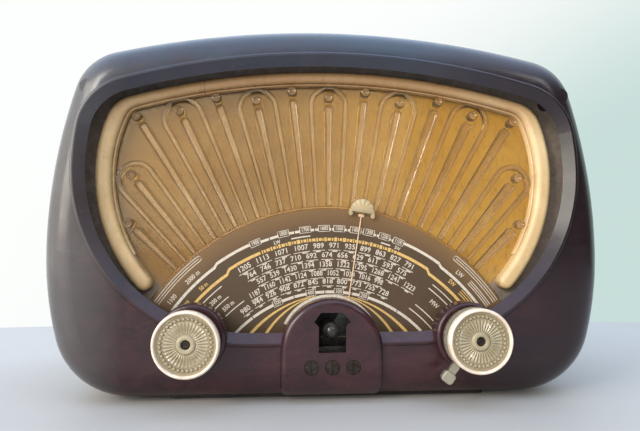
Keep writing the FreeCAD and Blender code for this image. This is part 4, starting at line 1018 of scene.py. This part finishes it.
def lighting():
    """Soft room: bright window side on the left, dim on the right, pale mint wall behind."""
    world = bpy.data.worlds.new("pale_room")
    bpy.context.scene.world = world
    world.use_nodes = True
    nodes, links = world.node_tree.nodes, world.node_tree.links
    nodes.clear()
    out = nodes.new("ShaderNodeOutputWorld")
    background = nodes.new("ShaderNodeBackground")
    way = nodes.new("ShaderNodeTexCoord").outputs["Generated"]

    def towards(direction, start, end):
        dot = nodes.new("ShaderNodeVectorMath")
        dot.operation = "DOT_PRODUCT"
        links.new(way, dot.inputs[0])
        dot.inputs[1].default_value = direction
        remap = nodes.new("ShaderNodeMapRange")
        remap.interpolation_type = "SMOOTHSTEP"
        remap.inputs["From Min"].default_value = start
        remap.inputs["From Max"].default_value = end
        links.new(dot.outputs["Value"], remap.inputs["Value"])
        return remap.outputs[0]

    def blend(first, second, share):
        node = nodes.new("ShaderNodeMix")
        node.data_type = "RGBA"
        links.new(share, node.inputs[0])
        for socket, value in ((node.inputs[6], first), (node.inputs[7], second)):
            if isinstance(value, tuple):
                socket.default_value = (*value, 1.0)
            else:
                links.new(value, socket)
        return node.outputs[2]

    front = blend((0.12, 0.11, 0.12), (1.70, 1.65, 1.55), towards((-0.93, -0.35, 0.1), 0.05, 0.95))
    low_wall = blend((0.58, 0.73, 0.70), (0.98, 1.0, 0.98), towards((-0.80, 0.55, 0.25), 0.10, 0.90))
    wall = blend(low_wall, (0.98, 1.0, 0.99), towards((-0.15, 0.4, 0.9), 0.42, 0.72))
    around = blend(front, wall, towards((0.0, 1.0, 0.0), -0.05, 0.35))
    room = blend(around, (1.30, 1.62, 2.15), towards((0.0, 0.0, 1.0), 0.42, 0.85))
    links.new(room, background.inputs["Color"])
    links.new(background.outputs[0], out.inputs[0])
    background.inputs["Strength"].default_value = 1.0
    area_light("window_left", (-1.7, -1.3, 0.75), (0, -0.05, 0.12), (1.3, 1.1), 26, (1.0, 0.94, 0.83))
    area_light("window_pane", (-1.3, -1.5, 1.15), (0, -0.05, 0.15), (0.40, 0.55), 8, (1.0, 0.98, 0.94))
    area_light("right_pane", (1.25, -1.5, 1.25), (0, -0.05, 0.15), (0.40, 0.45), 3, (1.0, 0.97, 0.92))
    area_light("front_fill", (-0.25, -2.1, 0.55), (0, 0, 0.13), (1.6, 0.9), 13, (1.0, 0.97, 0.92), False)


def camera():
    data = bpy.data.cameras.new("photo_camera")
    data.sensor_width = 36
    data.lens = 31.5
    data.clip_start = 0.01
    made = bpy.data.objects.new("photo_camera", data)
    yaw, pitch = math.radians(4.078), math.radians(3.525)
    made.location = (-0.0345, -0.44865, 0.1011)
    made.rotation_euler = (math.radians(90) + pitch, 0, -yaw)
    bpy.context.scene.collection.objects.link(made)
    bpy.context.scene.camera = made


dress_frame()
front_spans = cloth_spans(0.5)
speaker_cloth(front_spans)
grille(front_spans)
bezel_lip(front_spans)
dial_printing()
knob("volume", "volume_knob", "volume_knob_ring", "volume_knob_set")
knob("tuning", "tuning_knob", "tuning_knob_ring", "tuning_control")
pointer()
floor()
lighting()
camera()
bpy.context.scene.view_settings.view_transform = "Standard"
